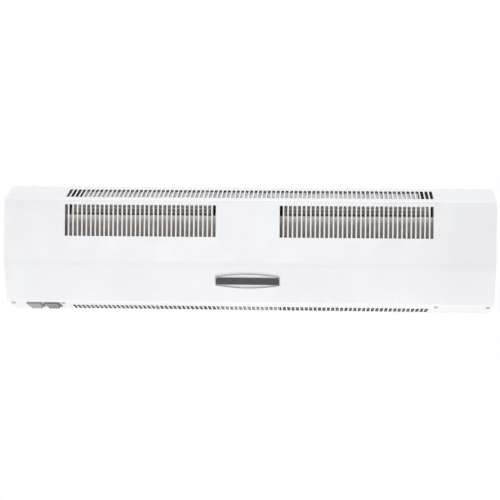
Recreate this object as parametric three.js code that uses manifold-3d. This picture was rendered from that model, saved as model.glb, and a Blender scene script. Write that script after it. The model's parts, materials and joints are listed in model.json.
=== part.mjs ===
// A wall-hung electric air curtain: slotted steel cover, chassis, twin tangential fan, tubular heater.
// Millimetres. X runs along the unit, Y points to the wall, Z is up.
// The origin is the middle of the back plate's wall face.

import * as THREE from "three";
import { mergeGeometries, mergeVertices } from "three/addons/utils/BufferGeometryUtils.js";
import Module from "manifold-3d";

const wasm = await Module();
wasm.setup();

// ---------------------------------------------------------------- driving dimensions

// casing section, from the wall outwards
const CASING_WIDTH = 800;
const CASING_DEPTH = 150;
const CASING_HEIGHT = 206;
const COVER_SHEET = 1;
const CHASSIS_SHEET = 1.2;
const TOP_SLOPE_RUN = 60;
const TOP_SLOPE_FALL = 23;
const FRONT_LEAN_RUN = 22;
const FRONT_LEAN_HEIGHT = 64;
const BOTTOM_SLOPE_RUN = 64;
const BOTTOM_SLOPE_FALL = 14.5;
const FOLD_RADIUS = 3;
const SOFT_FOLD_RADIUS = 40;
const FOLD_SEGMENTS = 4;

// what two touching pieces keep between them, and how far a cutter runs past a face
const SEAT_GAP = 0.3;
const CUT_OVERRUN = 2;

// air slots
const SLOT_PITCH = 7.352;
const SLOT_WIDTH = 5;
const GRILLE_FROM_MOTOR_PLATE = 0.8;
const GRILLE_FROM_PARTITION = 1.6;
const GRILLE_BELOW_FOLD = 8.5;
const GRILLE_HEIGHT = 51.5;
const TOP_ROW_FROM_END = 99;
const TOP_SLOT_FROM_EDGE = 12;
const TOP_SLOT_LENGTH = 40;
const OUTLET_ROW_FROM_END = 102;
const OUTLET_SLOT_FROM_FOLD = 29;
const OUTLET_SLOT_LENGTH = 34;

// chassis
const TOP_FLANGE_DEPTH = 50;
const BOTTOM_FLANGE_DEPTH = 30;
const KEYHOLE_FROM_END = 150;
const KEYHOLE_BELOW_TOP = 40;
const KEYHOLE_HEAD_RADIUS = 5;
const KEYHOLE_NECK_WIDTH = 5;
const KEYHOLE_NECK_LENGTH = 10;
const LOWER_FIXING_ABOVE_BOTTOM = 25;
const LOWER_FIXING_RADIUS = 3;

// sheet walls across the casing
const MOTOR_PLATE_CLEARANCE = 10;
const END_BAY_LENGTH = 98;
const SCREW_TAB_LENGTH = 13;
const SCREW_TAB_WIDTH = 19.5;

// fan
const FAN_BEHIND_FRONT = 72;
const FAN_BELOW_TOP = 55;
const IMPELLER_RADIUS = 38;
const BLADE_DEPTH = 8;
const BLADE_SWEEP = 0.16;
const BLADE_THICKNESS = 0.8;
const BLADE_COUNT = 20;
const DISC_THICKNESS = 2;
const IMPELLER_FROM_MOTOR_PLATE = 8;
const IMPELLER_FROM_PARTITION = 6;
const SHAFT_RADIUS = 4;
const SHAFT_PAST_COUPLING = 3;
const COUPLING_RADIUS = 12;
const COUPLING_FLANGE_RADIUS = 16;
const COUPLING_LENGTH = 12;
const COUPLING_FLANGE_THICKNESS = 3;
const STUB_FLANGE_RADIUS = 13;
const STUB_FLANGE_THICKNESS = 1.5;
const STUB_SPIGOT_RADIUS = 8;

// motor
const MOTOR_RADIUS = 34;
const MOTOR_LENGTH = 80;
const MOTOR_SHELL = 2;
const MOTOR_BOSS_RADIUS = 11;
const STATOR_LENGTH = 36;
const STATOR_WALL = 10;
const ROTOR_LENGTH = 40;
const AIR_GAP = 0.8;
const RUBBER_RING_RADIUS = 19;
const RUBBER_RING_WIDTH = 7;
const RUBBER_GROOVE_DEPTH = 3;

// outer bearings
const BEARING_RADIUS = 9;
const BEARING_LENGTH = 9;
const BEARING_RUBBER_RADIUS = 16;
const BEARING_RUBBER_WIDTH = 6;

// air duct
const DUCT_SHEET = 0.8;
const LIP_BELOW_GRILLE_TOP = 15.7;
const LIP_CLEARANCE = 4;
const LIP_RADIUS = 1.6;
const LIP_CURL = 3;
const SHOULDER_BEFORE_LIP = 4;
const SHOULDER_BELOW_LIP = 11;
const DUCT_KNEE_BEHIND_LIP = 10;
const DUCT_KNEE_ABOVE_BOTTOM = 90;
const DUCT_FOLD_RADIUS = 25;
const SHOULDER_RADIUS = 12;
const DUCT_EDGE_MARGIN = 2;
const SCROLL_CLEARANCE = 7;
const HOOD_BELOW_FLANGE = 0.6;
const HOOD_BELOW_SLOTS = 6;
const HOOD_END_FROM_FOLD = 42;
const HOOD_FOLD_RADIUS = 6;
const HOOD_SHORT_OF_PARTITION = 24;
const HOOD_BEHIND_TOP_FOLD = 2;
const SHIELD_FLANGE = 14;
const SCROLL_FOLD_RADIUS = 30;
const SCROLL_FOLD_SEGMENTS = 8;

// heater
const ROD_RADIUS = 4.25;
const ROD_STUD_RADIUS = 2;
const ROD_STUD_LENGTH = 12;
const ROD_COLLAR_RADIUS = 6;
const ROD_COLLAR_LENGTH = 3;
const ROD_SPACING = 17;
const ROD_STAGGER = 15;
const ROD_MIDDLE_ABOVE_BOTTOM = 47;
const ROD_AIR_GAP = 2.75;
const INSULATOR_THICKNESS = 4;
const INSULATOR_MARGIN = 9;
const CUTOUT_RADIUS = 8;
const CUTOUT_DEPTH = 9;
const CUTOUT_FLANGE_RADIUS = 12;
const CUTOUT_ABOVE_RODS = 30;

// rocker switches in the bottom slope
const SWITCH_WIDTH = 25.5;
const SWITCH_LENGTH = 31;
const SWITCH_BEZEL_HEIGHT = 2;
const SWITCH_GAP = 3.8;
const SWITCH_TAB_CLEARANCE = 0.5;
const SWITCH_FROM_FOLD = 25.5;
const SWITCH_LEDGE = 1.95;
const SWITCH_END_LEDGE = 1;
const SWITCH_BODY_DEPTH = 20;
const SWITCH_WALL = 1.2;
const SWITCH_POCKET_DEPTH = 8;
const ROCKER_SIDE_PLAY = 0.4;
const ROCKER_END_PLAY = 1.1;
const ROCKER_END_HEIGHT = 5.2;
const ROCKER_MIDDLE_HEIGHT = 3.8;
const ROCKER_SKIRT = 2.5;
const ROCKER_TILT = 8;
const ROCKER_PIVOT_DEPTH = 1;
const ROCKER_PIN_RADIUS = 1.5;
const TERMINAL_WIDTH = 6.3;
const TERMINAL_THICKNESS = 0.8;
const TERMINAL_LENGTH = 9;
const TERMINAL_ROOT = 2;
const TERMINAL_SPACING = 9;

// fasteners
const END_SCREW_FROM_END = 8.6;
const INNER_SCREW_FROM_PARTITION = 5.5;
const COVER_SCREW_FROM_FOLD = 12;
const SCREW_RADIUS = 1.7;
const SCREW_HEAD_RADIUS = 3.2;
const SCREW_HEAD_HEIGHT = 2;
const SCREW_CROWN_RADIUS = 1.9;
const SCREW_LENGTH = 9;
const EARTH_SCREW_FROM_END = 33;
const EARTH_SCREW_BEHIND_FOLD = 9;
const EARTH_NUT_RADIUS = 4;
const EARTH_NUT_HEIGHT = 3.2;
const NUT_SIDES = 6;

// mains inlet and wiring bay
const GROMMET_FROM_END = 55;
const GROMMET_FROM_WALL = 30;
const GROMMET_BORE_RADIUS = 4.5;
const GROMMET_NECK_RADIUS = 7;
const GROMMET_LIP_RADIUS = 9.5;
const GROMMET_LIP_THICKNESS = 1.8;
const CABLE_NOTCH_WIDTH = 26;
const CLAMP_WIDTH = 34;
const CLAMP_DEPTH = 10;
const CLAMP_HEIGHT = 9;
const CLAMP_BELOW_TOP = 26;
const CLAMP_SCREW_SPACING = 24;
const WIRING_FROM_END = 50;
const BLOCK_WIDTH = 62;
const BLOCK_DEPTH = 18;
const BLOCK_BASE_DEPTH = 9;
const BLOCK_HEIGHT = 22;
const BLOCK_CELL_GAP = 3.1;
const BLOCK_CELL_HEIGHT = 13.2;
const BLOCK_BELOW_TOP = 62;
const BLOCK_WAYS = 5;
const CAPACITOR_RADIUS = 14;
const CAPACITOR_LENGTH = 52;
const CAPACITOR_ABOVE_BOTTOM = 85;
const CLIP_STRAP = 1;
const CLIP_WIDTH = 14;
const CLIP_FOOT = 12;
const LEAD_RADIUS = 2.6;
const LEAD_FROM_WALL = 12;
const LEAD_BELOW_TOP = 100;
const LEAD_SIDES = 6;
const LEAD_STEPS = 24;
const LEAD_HOLE_MARGIN = 2.6;
const LEAD_BEND = 14;
const LEAD_STRAIGHT = 7;
const LEAD_EXIT = 3.5;
const LEAD_FROM_BLOCK_MIDDLE = 15.5;
const LEAD_FROM_MOTOR_MIDDLE = 20;
const HEATER_LEAD_RADIUS = 1.8;
const HEATER_LEAD_REACH = 24;
const HEATER_LEAD_STRAIGHT = 12;
const HEATER_LEAD_EXIT = 6;

// badge on the leaning part of the front
const BADGE_WIDTH = 104;
const BADGE_HEIGHT = 25;
const BADGE_END_HEIGHT = 15;
const BADGE_BAND_HEIGHT = 12;
const BADGE_BAND_CORNER = 2.5;
const BADGE_THICKNESS = 1.2;
const BADGE_RIM_WIDTH = 1.2;
const BADGE_RIM_HEIGHT = 1.8;
const BADGE_BELOW_FOLD = 28.5;

// facets of round pieces
const FINE = 24;
const MEDIUM = 16;
const COARSE = 12;

// ---------------------------------------------------------------- section of the casing

const TOP_Z = CASING_HEIGHT / 2;
const BOTTOM_Z = -TOP_Z;
const FRONT_Y = -CASING_DEPTH;
const HALF_WIDTH = CASING_WIDTH / 2;
const partitionX = HALF_WIDTH - END_BAY_LENGTH;
const motorPlateX = MOTOR_LENGTH / 2 + MOTOR_PLATE_CLEARANCE;
const keyholeX = HALF_WIDTH - KEYHOLE_FROM_END;
const endScrewX = HALF_WIDTH - END_SCREW_FROM_END;
const innerScrewX = partitionX + INNER_SCREW_FROM_PARTITION;
const coverScrewX = [-endScrewX, -innerScrewX, innerScrewX, endScrewX];
const earthScrewX = EARTH_SCREW_FROM_END - HALF_WIDTH;
const grommetX = GROMMET_FROM_END - HALF_WIDTH;
const wiringX = WIRING_FROM_END - HALF_WIDTH;

const at = (y, z) => new THREE.Vector2(y, z);

const topFold = at(FRONT_Y + TOP_SLOPE_RUN, TOP_Z);
const frontTopFold = at(FRONT_Y, TOP_Z - TOP_SLOPE_FALL);
const bottomFold = at(FRONT_Y + FRONT_LEAN_RUN, BOTTOM_Z + BOTTOM_SLOPE_FALL);
const softFold = at(FRONT_Y, bottomFold.y + FRONT_LEAN_HEIGHT);
const bottomRearFold = at(bottomFold.x + BOTTOM_SLOPE_RUN, BOTTOM_Z);

// the cover's outer face, from the wall at the top round to the wall at the bottom
const coverCorners = [
  at(-SEAT_GAP, TOP_Z),
  topFold,
  frontTopFold,
  softFold,
  bottomFold,
  bottomRearFold,
  at(-SEAT_GAP, BOTTOM_Z),
];
const coverRadii = [0, FOLD_RADIUS, FOLD_RADIUS, SOFT_FOLD_RADIUS, FOLD_RADIUS, FOLD_RADIUS, 0];

const axisY = FRONT_Y + FAN_BEHIND_FRONT;
const axisZ = TOP_Z - FAN_BELOW_TOP;

// ---------------------------------------------------------------- plane geometry

const leftNormal = (a, b) => at(a.y - b.y, b.x - a.x).normalize();

// Corners of a path moved to its left, met again where the moved sides cross.
function offsetCorners(corners, distance) {
  return corners.map((corner, i) => {
    const before = i > 0 ? leftNormal(corners[i - 1], corner) : null;
    const after = i < corners.length - 1 ? leftNormal(corner, corners[i + 1]) : null;
    const first = before ?? after;
    const second = after ?? before;
    const scale = distance / (1 + first.dot(second));
    return corner.clone().addScaledVector(first.clone().add(second), scale);
  });
}

// A path with its inner corners rounded by arcs.
function roundedPath(corners, radii, segments = FOLD_SEGMENTS) {
  const points = [corners[0].clone()];
  for (let i = 1; i < corners.length - 1; i += 1) {
    const corner = corners[i];
    if (radii[i] === 0) {
      points.push(corner.clone());
      continue;
    }
    const back = corners[i - 1].clone().sub(corner).normalize();
    const ahead = corners[i + 1].clone().sub(corner).normalize();
    const half = Math.acos(THREE.MathUtils.clamp(back.dot(ahead), -1, 1)) / 2;
    const start = corner.clone().addScaledVector(back, radii[i] / Math.tan(half));
    const middle = back.clone().add(ahead).normalize();
    const centre = corner.clone().addScaledVector(middle, radii[i] / Math.sin(half));
    const turn = Math.sign(ahead.cross(back)) * (Math.PI - 2 * half);
    for (let k = 0; k <= segments; k += 1) {
      points.push(start.clone().rotateAround(centre, (turn * k) / segments));
    }
  }
  points.push(corners[corners.length - 1].clone());
  return points;
}

// Outline of a bent sheet: the corners are one face, and the thickness goes to the path's left.
function sheetOutline(corners, thickness, radii, segments = FOLD_SEGMENTS) {
  const other = offsetCorners(corners, thickness);
  const turnsLeft = corners.map((corner, i) => {
    if (i === 0 || i === corners.length - 1) return true;
    const back = corners[i - 1].clone().sub(corner);
    const ahead = corners[i + 1].clone().sub(corner);
    return ahead.cross(back) > 0;
  });
  const outer = radii.map((r) => (r > 0 ? r + thickness : 0));
  const near = radii.map((r, i) => (turnsLeft[i] ? outer[i] : r));
  const far = radii.map((r, i) => (turnsLeft[i] ? r : outer[i]));
  const face = roundedPath(corners, near, segments);
  return [...face, ...roundedPath(other, far, segments).reverse()];
}

// A point at a distance along a straight face of the section, moved inwards from it.
function onFace(from, to, along, inwards) {
  const step = to.clone().sub(from).normalize();
  return from.clone().addScaledVector(step, along).addScaledVector(leftNormal(from, to), inwards);
}

// ---------------------------------------------------------------- solids

// Section coordinates (y, z) drawn as a shape's (x, y) and extruded along X.
const sectionBasis = new THREE.Matrix4().makeBasis(
  new THREE.Vector3(0, 1, 0),
  new THREE.Vector3(0, 0, 1),
  new THREE.Vector3(1, 0, 0),
);

function extrudeX(outline, fromX, toX) {
  const depth = toX - fromX;
  const geometry = new THREE.ExtrudeGeometry(new THREE.Shape(outline), { depth, bevelEnabled: false });
  return geometry.applyMatrix4(sectionBasis).translate(fromX, 0, 0);
}

function box(centre, size) {
  return new THREE.BoxGeometry(...size).translate(...centre);
}

// A turned piece about Z. The profile holds (radius, height) points and closes on itself or on the axis.
function turned(profile, segments = COARSE) {
  const points = profile.map(([radius, height]) => at(radius, height));
  const onAxis = points[0].x === 0 && points[points.length - 1].x === 0;
  if (THREE.ShapeUtils.area(points) < 0) points.reverse();
  if (!onAxis) points.push(points[0].clone());
  return new THREE.LatheGeometry(points, segments).rotateX(Math.PI / 2);
}

// The same piece turned about X, at a place in the section.
function turnedX(profile, place = at(axisY, axisZ), segments = COARSE) {
  return turned(profile, segments).rotateY(Math.PI / 2).translate(0, place.x, place.y);
}

function solid(geometry) {
  const bare = new THREE.BufferGeometry();
  bare.setAttribute("position", geometry.getAttribute("position"));
  bare.setIndex(geometry.getIndex());
  const merged = mergeVertices(bare);
  const vertProperties = merged.getAttribute("position").array;
  const triVerts = new Uint32Array(merged.getIndex().array);
  return new wasm.Manifold(new wasm.Mesh({ numProp: 3, vertProperties, triVerts }));
}

// Geometries that don't touch each other, as one cutter or one group of bars.
function solids(geometries) {
  const bare = geometries.map((geometry) => {
    const flat = geometry.index ? geometry.toNonIndexed() : geometry;
    const copy = new THREE.BufferGeometry();
    copy.setAttribute("position", flat.getAttribute("position"));
    return copy;
  });
  return solid(mergeVertices(mergeGeometries(bare)));
}

function joined(body, additions, cuts = []) {
  let result = solid(body);
  additions.forEach((geometry) => {
    result = result.add(solid(geometry));
  });
  if (cuts.length) result = result.subtract(solids(cuts));
  return geometryOf(result);
}

function cut(body, cuts) {
  return joined(body, [], cuts);
}

function geometryOf(manifold) {
  const mesh = manifold.getMesh();
  const geometry = new THREE.BufferGeometry();
  geometry.setAttribute("position", new THREE.BufferAttribute(mesh.vertProperties, mesh.numProp));
  geometry.setIndex(new THREE.BufferAttribute(mesh.triVerts, 1));
  geometry.computeVertexNormals();
  return geometry;
}

function mirroredX(geometry) {
  const flat = geometry.index ? geometry.toNonIndexed() : geometry.clone();
  const position = flat.getAttribute("position");
  const copy = new Float32Array(position.count * 3);
  for (let i = 0; i < position.count; i += 1) {
    const source = i % 3 === 1 ? i + 1 : i % 3 === 2 ? i - 1 : i;
    copy.set([-position.getX(source), position.getY(source), position.getZ(source)], 3 * i);
  }
  const result = new THREE.BufferGeometry();
  result.setAttribute("position", new THREE.BufferAttribute(copy, 3));
  result.computeVertexNormals();
  return result;
}

// Frame of a straight face of the cover: X along the unit, Z outwards, and minus Y along the face.
function faceFrame(from, to) {
  const step = to.clone().sub(from).normalize();
  const outwards = leftNormal(from, to).negate();
  return new THREE.Matrix4()
    .makeBasis(
      new THREE.Vector3(1, 0, 0),
      new THREE.Vector3(0, -step.x, -step.y),
      new THREE.Vector3(0, outwards.x, outwards.y),
    )
    .setPosition(0, from.x, from.y);
}

const topFace = faceFrame(topFold, frontTopFold);
const frontFace = faceFrame(frontTopFold, softFold);
const leaningFace = faceFrame(softFold, bottomFold);
const bottomFace = faceFrame(bottomFold, bottomRearFold);

// A box on a face, given by its place along the unit, along the face and above it.
function boxOnFace(frame, x, along, above, size) {
  return box([x, -along, above], size).applyMatrix4(frame);
}

function onFaceFrame(geometry, frame, x, along, above = 0) {
  return geometry.translate(x, -along, above).applyMatrix4(frame);
}

// ---------------------------------------------------------------- materials and placing

const paint = { color: 0xf1f2f4, roughness: 0.42, metalness: 0 };
const galvanised = { color: 0xb9bdbf, roughness: 0.38, metalness: 1 };
const steel = { color: 0x9a9da0, roughness: 0.3, metalness: 1 };
const aluminium = { color: 0xc4c6c8, roughness: 0.35, metalness: 1 };
const darkSteel = { color: 0x4c4a47, roughness: 0.5, metalness: 1 };
const bronze = { color: 0xa5844e, roughness: 0.45, metalness: 1 };
const rubber = { color: 0x1d1d1e, roughness: 0.85, metalness: 0 };
const darkPlastic = { color: 0x5c5e61, roughness: 0.45, metalness: 0 };
const greyPlastic = { color: 0x7c7e81, roughness: 0.35, metalness: 0 };
const palePlastic = { color: 0xe4e0d4, roughness: 0.5, metalness: 0 };
const ceramic = { color: 0xded8ca, roughness: 0.6, metalness: 0 };
const badgeGrey = { color: 0x46484b, roughness: 0.35, metalness: 0 };
const silver = { color: 0xd2d4d6, roughness: 0.2, metalness: 1 };

const airCurtain = new THREE.Group();

function place(name, geometry, finish) {
  const mesh = new THREE.Mesh(geometry, new THREE.MeshStandardMaterial(finish));
  mesh.name = name;
  airCurtain.add(mesh);
}

// One piece on the right of the unit and its mirror image on the left.
function placePair(name, geometry, finish) {
  place(`right_${name}`, geometry, finish);
  place(`left_${name}`, mirroredX(geometry), finish);
}

// ---------------------------------------------------------------- cover

// As many slots as the room along the unit takes.
const slotsIn = (room) => Math.floor((room - SLOT_WIDTH) / SLOT_PITCH) + 1;
const middleSlotX = (count) => (-(count - 1) * SLOT_PITCH) / 2;

function slotRow(frame, count, firstX, along, length) {
  const cutter = [SLOT_WIDTH, length, 2 * (COVER_SHEET + CUT_OVERRUN)];
  return Array.from({ length: count }, (_, i) =>
    boxOnFace(frame, firstX + i * SLOT_PITCH, along + length / 2, 0, cutter),
  );
}

function screwHole() {
  const radius = SCREW_RADIUS + SEAT_GAP;
  return turned([
    [0, -SCREW_LENGTH],
    [radius, -SCREW_LENGTH],
    [radius, SCREW_HEAD_HEIGHT],
    [0, SCREW_HEAD_HEIGHT],
  ]);
}

const screwHoleAt = (x) => onFaceFrame(screwHole(), bottomFace, x, COVER_SCREW_FROM_FOLD);

const switchBodyWidth = SWITCH_WIDTH - 2 * SWITCH_LEDGE;
const switchBodyLength = SWITCH_LENGTH - 2 * SWITCH_END_LEDGE;
const tabEnd = partitionX + CHASSIS_SHEET + SCREW_TAB_LENGTH;
const innerSwitchX = -(tabEnd + SWITCH_TAB_CLEARANCE + switchBodyWidth / 2);
const switchX = [innerSwitchX - SWITCH_WIDTH - SWITCH_GAP, innerSwitchX];
const grommetPlace = [grommetX, -GROMMET_FROM_WALL];
const earthScrewY = topFold.x + EARTH_SCREW_BEHIND_FOLD;

function frontCover() {
  const outline = sheetOutline(coverCorners, COVER_SHEET, coverRadii);
  const sheet = extrudeX(outline, -HALF_WIDTH, HALF_WIDTH);
  const topSlots = slotsIn(CASING_WIDTH - 2 * TOP_ROW_FROM_END);
  const topAlong = topFold.distanceTo(frontTopFold) - TOP_SLOT_FROM_EDGE - TOP_SLOT_LENGTH;
  const outletSlots = slotsIn(CASING_WIDTH - 2 * OUTLET_ROW_FROM_END);
  const outlet = [OUTLET_SLOT_FROM_FOLD, OUTLET_SLOT_LENGTH];
  const grilleFrom = motorPlateX + CHASSIS_SHEET + GRILLE_FROM_MOTOR_PLATE;
  const grilleSlots = slotsIn(partitionX - GRILLE_FROM_PARTITION - grilleFrom);
  const grilleFirst = grilleFrom + SLOT_WIDTH / 2;
  const grilleLast = grilleFirst + (grilleSlots - 1) * SLOT_PITCH;
  const grille = [GRILLE_BELOW_FOLD, GRILLE_HEIGHT];
  const slots = [
    ...slotRow(topFace, topSlots, middleSlotX(topSlots), topAlong, TOP_SLOT_LENGTH),
    ...slotRow(frontFace, grilleSlots, -grilleLast, ...grille),
    ...slotRow(frontFace, grilleSlots, grilleFirst, ...grille),
    ...slotRow(bottomFace, outletSlots, middleSlotX(outletSlots), ...outlet),
  ];
  const switchHole = [
    switchBodyWidth + 2 * SEAT_GAP,
    switchBodyLength + 2 * SEAT_GAP,
    2 * (COVER_SHEET + CUT_OVERRUN),
  ];
  const switchHoles = switchX.map((x) => boxOnFace(bottomFace, x, SWITCH_FROM_FOLD, 0, switchHole));
  const screwHoles = coverScrewX.map(screwHoleAt);
  const notchDepth = GROMMET_FROM_WALL + CABLE_NOTCH_WIDTH / 2;
  const notch = box(
    [grommetX, -notchDepth / 2 + CUT_OVERRUN, TOP_Z],
    [CABLE_NOTCH_WIDTH, notchDepth + 2 * CUT_OVERRUN, 2 * (COVER_SHEET + CUT_OVERRUN)],
  );
  const earthHole = screwHole().translate(earthScrewX, earthScrewY, TOP_Z);
  return cut(sheet, [...slots, ...switchHoles, ...screwHoles, notch, earthHole]);
}

// ---------------------------------------------------------------- chassis

const flangeZ = TOP_Z - COVER_SHEET - SEAT_GAP;
const endPlateInner = HALF_WIDTH - CHASSIS_SHEET;
const backPlateHalf = endPlateInner - SEAT_GAP;

function keyholeCutters(x) {
  const z = TOP_Z - KEYHOLE_BELOW_TOP;
  const length = 2 * (CHASSIS_SHEET + CUT_OVERRUN);
  const head = new THREE.CylinderGeometry(KEYHOLE_HEAD_RADIUS, KEYHOLE_HEAD_RADIUS, length, COARSE);
  const neck = box([x, 0, z + KEYHOLE_NECK_LENGTH / 2], [KEYHOLE_NECK_WIDTH, length, KEYHOLE_NECK_LENGTH]);
  return geometryOf(solid(head.translate(x, 0, z)).add(solid(neck)));
}

function fixingCutter(x) {
  const length = 2 * (CHASSIS_SHEET + CUT_OVERRUN);
  const hole = new THREE.CylinderGeometry(LOWER_FIXING_RADIUS, LOWER_FIXING_RADIUS, length, COARSE);
  return hole.translate(x, 0, BOTTOM_Z + LOWER_FIXING_ABOVE_BOTTOM);
}

function backPlate() {
  const corners = [
    at(-TOP_FLANGE_DEPTH, flangeZ),
    at(0, flangeZ),
    at(0, -flangeZ),
    at(-BOTTOM_FLANGE_DEPTH, -flangeZ),
  ];
  const outline = sheetOutline(corners.reverse(), CHASSIS_SHEET, [0, FOLD_RADIUS, FOLD_RADIUS, 0]);
  const grommetHole = turned([
    [0, -CUT_OVERRUN],
    [GROMMET_NECK_RADIUS + SEAT_GAP, -CUT_OVERRUN],
    [GROMMET_NECK_RADIUS + SEAT_GAP, CUT_OVERRUN],
    [0, CUT_OVERRUN],
  ]).translate(...grommetPlace, flangeZ);
  return cut(extrudeX(outline, -backPlateHalf, backPlateHalf), [
    keyholeCutters(keyholeX),
    keyholeCutters(-keyholeX),
    fixingCutter(keyholeX),
    fixingCutter(-keyholeX),
    grommetHole,
  ]);
}

const innerRadii = coverRadii.map((r) => Math.max(r - SEAT_GAP, 0));

// Outline of a plate that fills the casing's section inside the cover and the chassis flanges.
function crossOutline() {
  const inner = offsetCorners(coverCorners, COVER_SHEET + SEAT_GAP);
  const topStep = -(TOP_FLANGE_DEPTH + SEAT_GAP);
  const bottomStep = -(BOTTOM_FLANGE_DEPTH + SEAT_GAP);
  const rear = -(CHASSIS_SHEET + SEAT_GAP);
  const under = flangeZ - CHASSIS_SHEET - SEAT_GAP;
  const path = [at(topStep, inner[0].y), ...inner.slice(1, -1), at(bottomStep, inner.at(-1).y)];
  return [
    ...roundedPath(path, innerRadii),
    at(bottomStep, -under),
    at(rear - FOLD_RADIUS, -under),
    at(rear, -under + FOLD_RADIUS),
    at(rear, under - FOLD_RADIUS),
    at(rear - FOLD_RADIUS, under),
    at(topStep, under),
  ];
}

// Tab bent from a plate along the bottom slope, drilled for a cover screw.
function screwTab(fromX, toX) {
  const above = -(COVER_SHEET + SEAT_GAP + CHASSIS_SHEET / 2);
  const along = COVER_SCREW_FROM_FOLD;
  const size = [toX - fromX, SCREW_TAB_WIDTH, CHASSIS_SHEET];
  return boxOnFace(bottomFace, (fromX + toX) / 2, along, above, size);
}

function endPlate() {
  const inner = roundedPath(offsetCorners(coverCorners, COVER_SHEET + SEAT_GAP), innerRadii);
  const plate = extrudeX([...inner], endPlateInner, HALF_WIDTH);
  const tab = screwTab(endPlateInner - SCREW_TAB_LENGTH, endPlateInner + CHASSIS_SHEET / 2);
  return joined(plate, [tab], [screwHoleAt(endScrewX)]);
}

const rodPlaces = [-1, 0, 1].map((i) =>
  at(
    axisY + i * ROD_SPACING,
    BOTTOM_Z + ROD_MIDDLE_ABOVE_BOTTOM + Math.abs(i) * ROD_STAGGER,
  ),
);

function holeX(placeYz, radius, fromX, toX, segments = COARSE) {
  const profile = [
    [0, fromX],
    [radius, fromX],
    [radius, toX],
    [0, toX],
  ];
  return turnedX(profile, placeYz, segments);
}

const leadPlace = at(-LEAD_FROM_WALL, TOP_Z - LEAD_BELOW_TOP);
const leadHoleRadius = LEAD_RADIUS + LEAD_HOLE_MARGIN;

function plateHoles(fromX, toX, shaftHole, rodHole) {
  const span = [fromX - CUT_OVERRUN, toX + CUT_OVERRUN];
  return [
    holeX(at(axisY, axisZ), shaftHole, ...span, MEDIUM),
    ...rodPlaces.map((rod) => holeX(rod, rodHole, ...span)),
    holeX(leadPlace, leadHoleRadius, ...span),
  ];
}

function partition() {
  const toX = partitionX + CHASSIS_SHEET;
  const plate = extrudeX(crossOutline(), partitionX, toX);
  const tab = screwTab(toX - CHASSIS_SHEET / 2, tabEnd);
  const bearingHole = BEARING_RUBBER_RADIUS - RUBBER_GROOVE_DEPTH + SEAT_GAP;
  const holes = plateHoles(partitionX, toX, bearingHole, ROD_RADIUS + ROD_AIR_GAP);
  return joined(plate, [tab], [...holes, screwHoleAt(innerScrewX)]);
}

function motorPlate() {
  const toX = motorPlateX + CHASSIS_SHEET;
  const plate = extrudeX(crossOutline(), motorPlateX, toX);
  const ringHole = RUBBER_RING_RADIUS - RUBBER_GROOVE_DEPTH + SEAT_GAP;
  return cut(plate, plateHoles(motorPlateX, toX, ringHole, ROD_RADIUS + SEAT_GAP));
}

// ---------------------------------------------------------------- air duct

const ductFromX = motorPlateX + CHASSIS_SHEET + SEAT_GAP;
const ductToX = partitionX - SEAT_GAP;
const insideCover = COVER_SHEET + SEAT_GAP;

// Front wall of the duct: up from the outlet to a shoulder, then leaning back to a curled lip.
function ductWall() {
  const curlY = axisY - IMPELLER_RADIUS - LIP_CLEARANCE;
  const lipY = curlY - LIP_CURL;
  const lipZ = frontTopFold.y - GRILLE_BELOW_FOLD - LIP_BELOW_GRILLE_TOP;
  const foot = onFace(
    bottomFold,
    bottomRearFold,
    OUTLET_SLOT_FROM_FOLD - DUCT_EDGE_MARGIN,
    insideCover + DUCT_SHEET,
  );
  const corners = [
    foot,
    at(lipY + DUCT_KNEE_BEHIND_LIP, BOTTOM_Z + DUCT_KNEE_ABOVE_BOTTOM),
    at(lipY - SHOULDER_BEFORE_LIP, lipZ - SHOULDER_BELOW_LIP),
    at(lipY, lipZ),
    at(curlY, lipZ - LIP_CURL),
  ];
  const radii = [0, DUCT_FOLD_RADIUS, SHOULDER_RADIUS, LIP_RADIUS, 0];
  const outline = sheetOutline(corners, DUCT_SHEET, radii);
  return extrudeX(outline, ductFromX, ductToX);
}

const hoodZ = flangeZ - CHASSIS_SHEET - HOOD_BELOW_FLANGE;

// The hood under the top slots, from its fold behind them to its front edge.
function hoodLine() {
  return [
    at(topFold.x + HOOD_BEHIND_TOP_FOLD, hoodZ),
    onFace(topFold, frontTopFold, HOOD_END_FROM_FOLD, HOOD_BELOW_SLOTS),
  ];
}

// Rear wall of the duct: round the back of the impeller, and on as a hood under the top slots.
function scrollGuide() {
  const rearY = axisY + IMPELLER_RADIUS + SCROLL_CLEARANCE;
  const foot = onFace(
    bottomFold,
    bottomRearFold,
    OUTLET_SLOT_FROM_FOLD + OUTLET_SLOT_LENGTH + DUCT_EDGE_MARGIN,
    insideCover + DUCT_SHEET,
  );
  const corners = [
    foot,
    at(rearY, axisZ - IMPELLER_RADIUS),
    at(rearY, hoodZ),
    ...hoodLine(),
  ];
  const radii = [0, SCROLL_FOLD_RADIUS, SCROLL_FOLD_RADIUS, HOOD_FOLD_RADIUS, 0];
  const outline = sheetOutline(corners, DUCT_SHEET, radii, SCROLL_FOLD_SEGMENTS);
  const shortening = box(
    [ductToX + CUT_OVERRUN - HOOD_SHORT_OF_PARTITION / 2, (FRONT_Y + axisY) / 2, (axisZ + TOP_Z) / 2],
    [HOOD_SHORT_OF_PARTITION + 2 * CUT_OVERRUN, axisY - FRONT_Y, TOP_Z - axisZ],
  );
  return cut(extrudeX(outline, ductFromX, ductToX), [shortening]);
}

// The hood's middle length, over the motor, with a flange of its own on the chassis.
function motorShield() {
  const rearY = -(CHASSIS_SHEET + SEAT_GAP);
  const corners = [at(rearY, hoodZ - SHIELD_FLANGE), at(rearY, hoodZ), ...hoodLine()];
  const radii = [0, FOLD_RADIUS, HOOD_FOLD_RADIUS, 0];
  const reach = motorPlateX - SEAT_GAP;
  return extrudeX(sheetOutline(corners, DUCT_SHEET, radii), -reach, reach);
}

// ---------------------------------------------------------------- fan

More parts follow.
